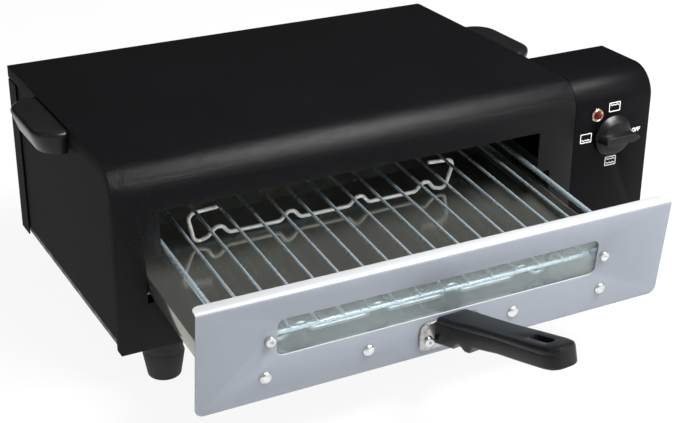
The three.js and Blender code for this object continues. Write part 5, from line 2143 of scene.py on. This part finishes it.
@dataclass
class Studio:
    """The camera of the photo, softboxes, a pale floor and a white backdrop."""

    eye: Point = (-455.32 * MM, -776.5 * MM, 510.46 * MM)
    lens: float = 74.58
    azimuth: float = math.radians(-28.104)
    elevation: float = math.radians(24.945)
    roll: float = math.radians(0.371)
    lamps: tuple[Softbox, ...] = (
        Softbox("key", (0.46, -0.62, 1.3), (0.0, 0.0, 0.12), 47.0, (1.1, 0.3)),
        Softbox("left", (-1.5, -0.5, 1.0), (0.0, 0.0, 0.1), 1.5, (0.9, 0.9)),
        Softbox("front", (0.95, -1.4, 0.9), (0.0, -0.2, 0.14), 13.0, (1.5, 0.85)),
    )
    floor_size: float = 12.0
    floor_depth: float = 2 * MM
    floor_light: Colour = (0.86, 0.86, 0.86, 1.0)
    floor_dark: Colour = (0.84, 0.84, 0.84, 1.0)
    floor_clouds_per_metre: float = 3.0
    shadow_share: float = 0.09
    fill_front: float = 0.28
    fill_back: float = 0.05
    fill_above: float = 0.4
    room_depths: tuple[float, float] = (-0.3, 0.5)
    room_heights: tuple[float, float] = (0.44, 0.6)

    def build(self) -> None:
        """Sets the camera, the lights, the floor and the backdrop."""
        self._camera()
        self._floor()
        self._backdrop()
        for lamp in self.lamps:
            lamp.hang()
        bpy.context.scene.view_settings.view_transform = "Standard"

    def _camera(self) -> None:
        """Puts the camera where the photo was taken from."""
        level, height = math.cos(self.elevation), math.sin(self.elevation)
        back = Vector((math.sin(self.azimuth) * level, -math.cos(self.azimuth) * level, height))
        right = Vector((0.0, 0.0, 1.0)).cross(back).normalized()
        turn = Matrix((right, back.cross(right), back)).transposed().to_4x4()
        data = bpy.data.cameras.new("camera")
        data.lens = self.lens
        camera = bpy.data.objects.new("camera", data)
        bpy.context.collection.objects.link(camera)
        camera.matrix_world = Matrix.Translation(self.eye) @ turn @ Matrix.Rotation(self.roll, 4, "Z")
        bpy.context.scene.camera = camera

    def _floor(self) -> None:
        """Lays the pale floor under the feet, which is seen almost white but for the object's shadow."""
        half = self.floor_size / 2
        floor = Bench.block("floor", (-half, -half, -self.floor_depth), (half, half, -TOUCH))
        shader = Shader("floor_white")
        clouds = shader.noise(self.floor_clouds_per_metre)
        colour = shader.blend(clouds, self.floor_light, self.floor_dark)
        lit = shader.node("BsdfDiffuse", inputs={"Color": colour})
        rays = ("Is Camera Ray", "Is Glossy Ray", "Is Transmission Ray")
        camera, glossy, transmission = (shader.node("LightPath", output=ray) for ray in rays)
        plain = shader.node("Emission", inputs={"Color": WHITE, "Strength": 1.0})
        share = (camera + glossy + transmission) * (1.0 - self.shadow_share)
        shader.finish(shader.node("MixShader", inputs={0: share, 1: lit, 2: plain}))
        floor.data.materials.append(shader.material)

    def _backdrop(self) -> None:
        """Makes the world white where it is seen, and elsewhere a grey room that is darker to the rear."""
        world = bpy.data.worlds.new("backdrop")
        bpy.context.scene.world = world
        world.use_nodes = True
        nodes = Nodes(world.node_tree)
        rays = ("Is Camera Ray", "Is Transmission Ray")
        camera, transmission = (nodes.node("LightPath", output=ray) for ray in rays)
        way = nodes.node("TexCoord", output="Generated")
        depth, height = (nodes.node("SeparateXYZ", inputs={"Vector": way}, output=axis) for axis in "YZ")
        rear = nodes.fade(height, self.room_heights, self.fill_back, self.fill_above)
        room = nodes.fade(depth, self.room_depths, self.fill_front, rear)
        grey = nodes.node("Background", inputs={"Strength": room})
        white = nodes.node("Background", inputs={"Color": WHITE})
        mixed = nodes.node("MixShader", inputs={0: camera + transmission, 1: grey, 2: white})
        nodes.finish(mixed, "OutputWorld")


def main() -> None:
    """Builds every sub-assembly in order, then the picture around it."""
    logging.basicConfig(level=logging.INFO, format="%(message)s")
    axes = DrawerAxes()
    for part in (
        CasingShell(),
        SideGrips(),
        Feet(),
        ControlBox(),
        SelectorKnob(),
        FaceMarks(),
        Elements(),
        DrawerFront(axes),
        DrawerTray(axes),
        PullHandle(axes),
        Grill(axes),
        SkewerRests(axes),
        Studio(),
    ):
        log.info("Building %s", type(part).__name__)
        part.build()


if __name__ == "__main__":
    main()
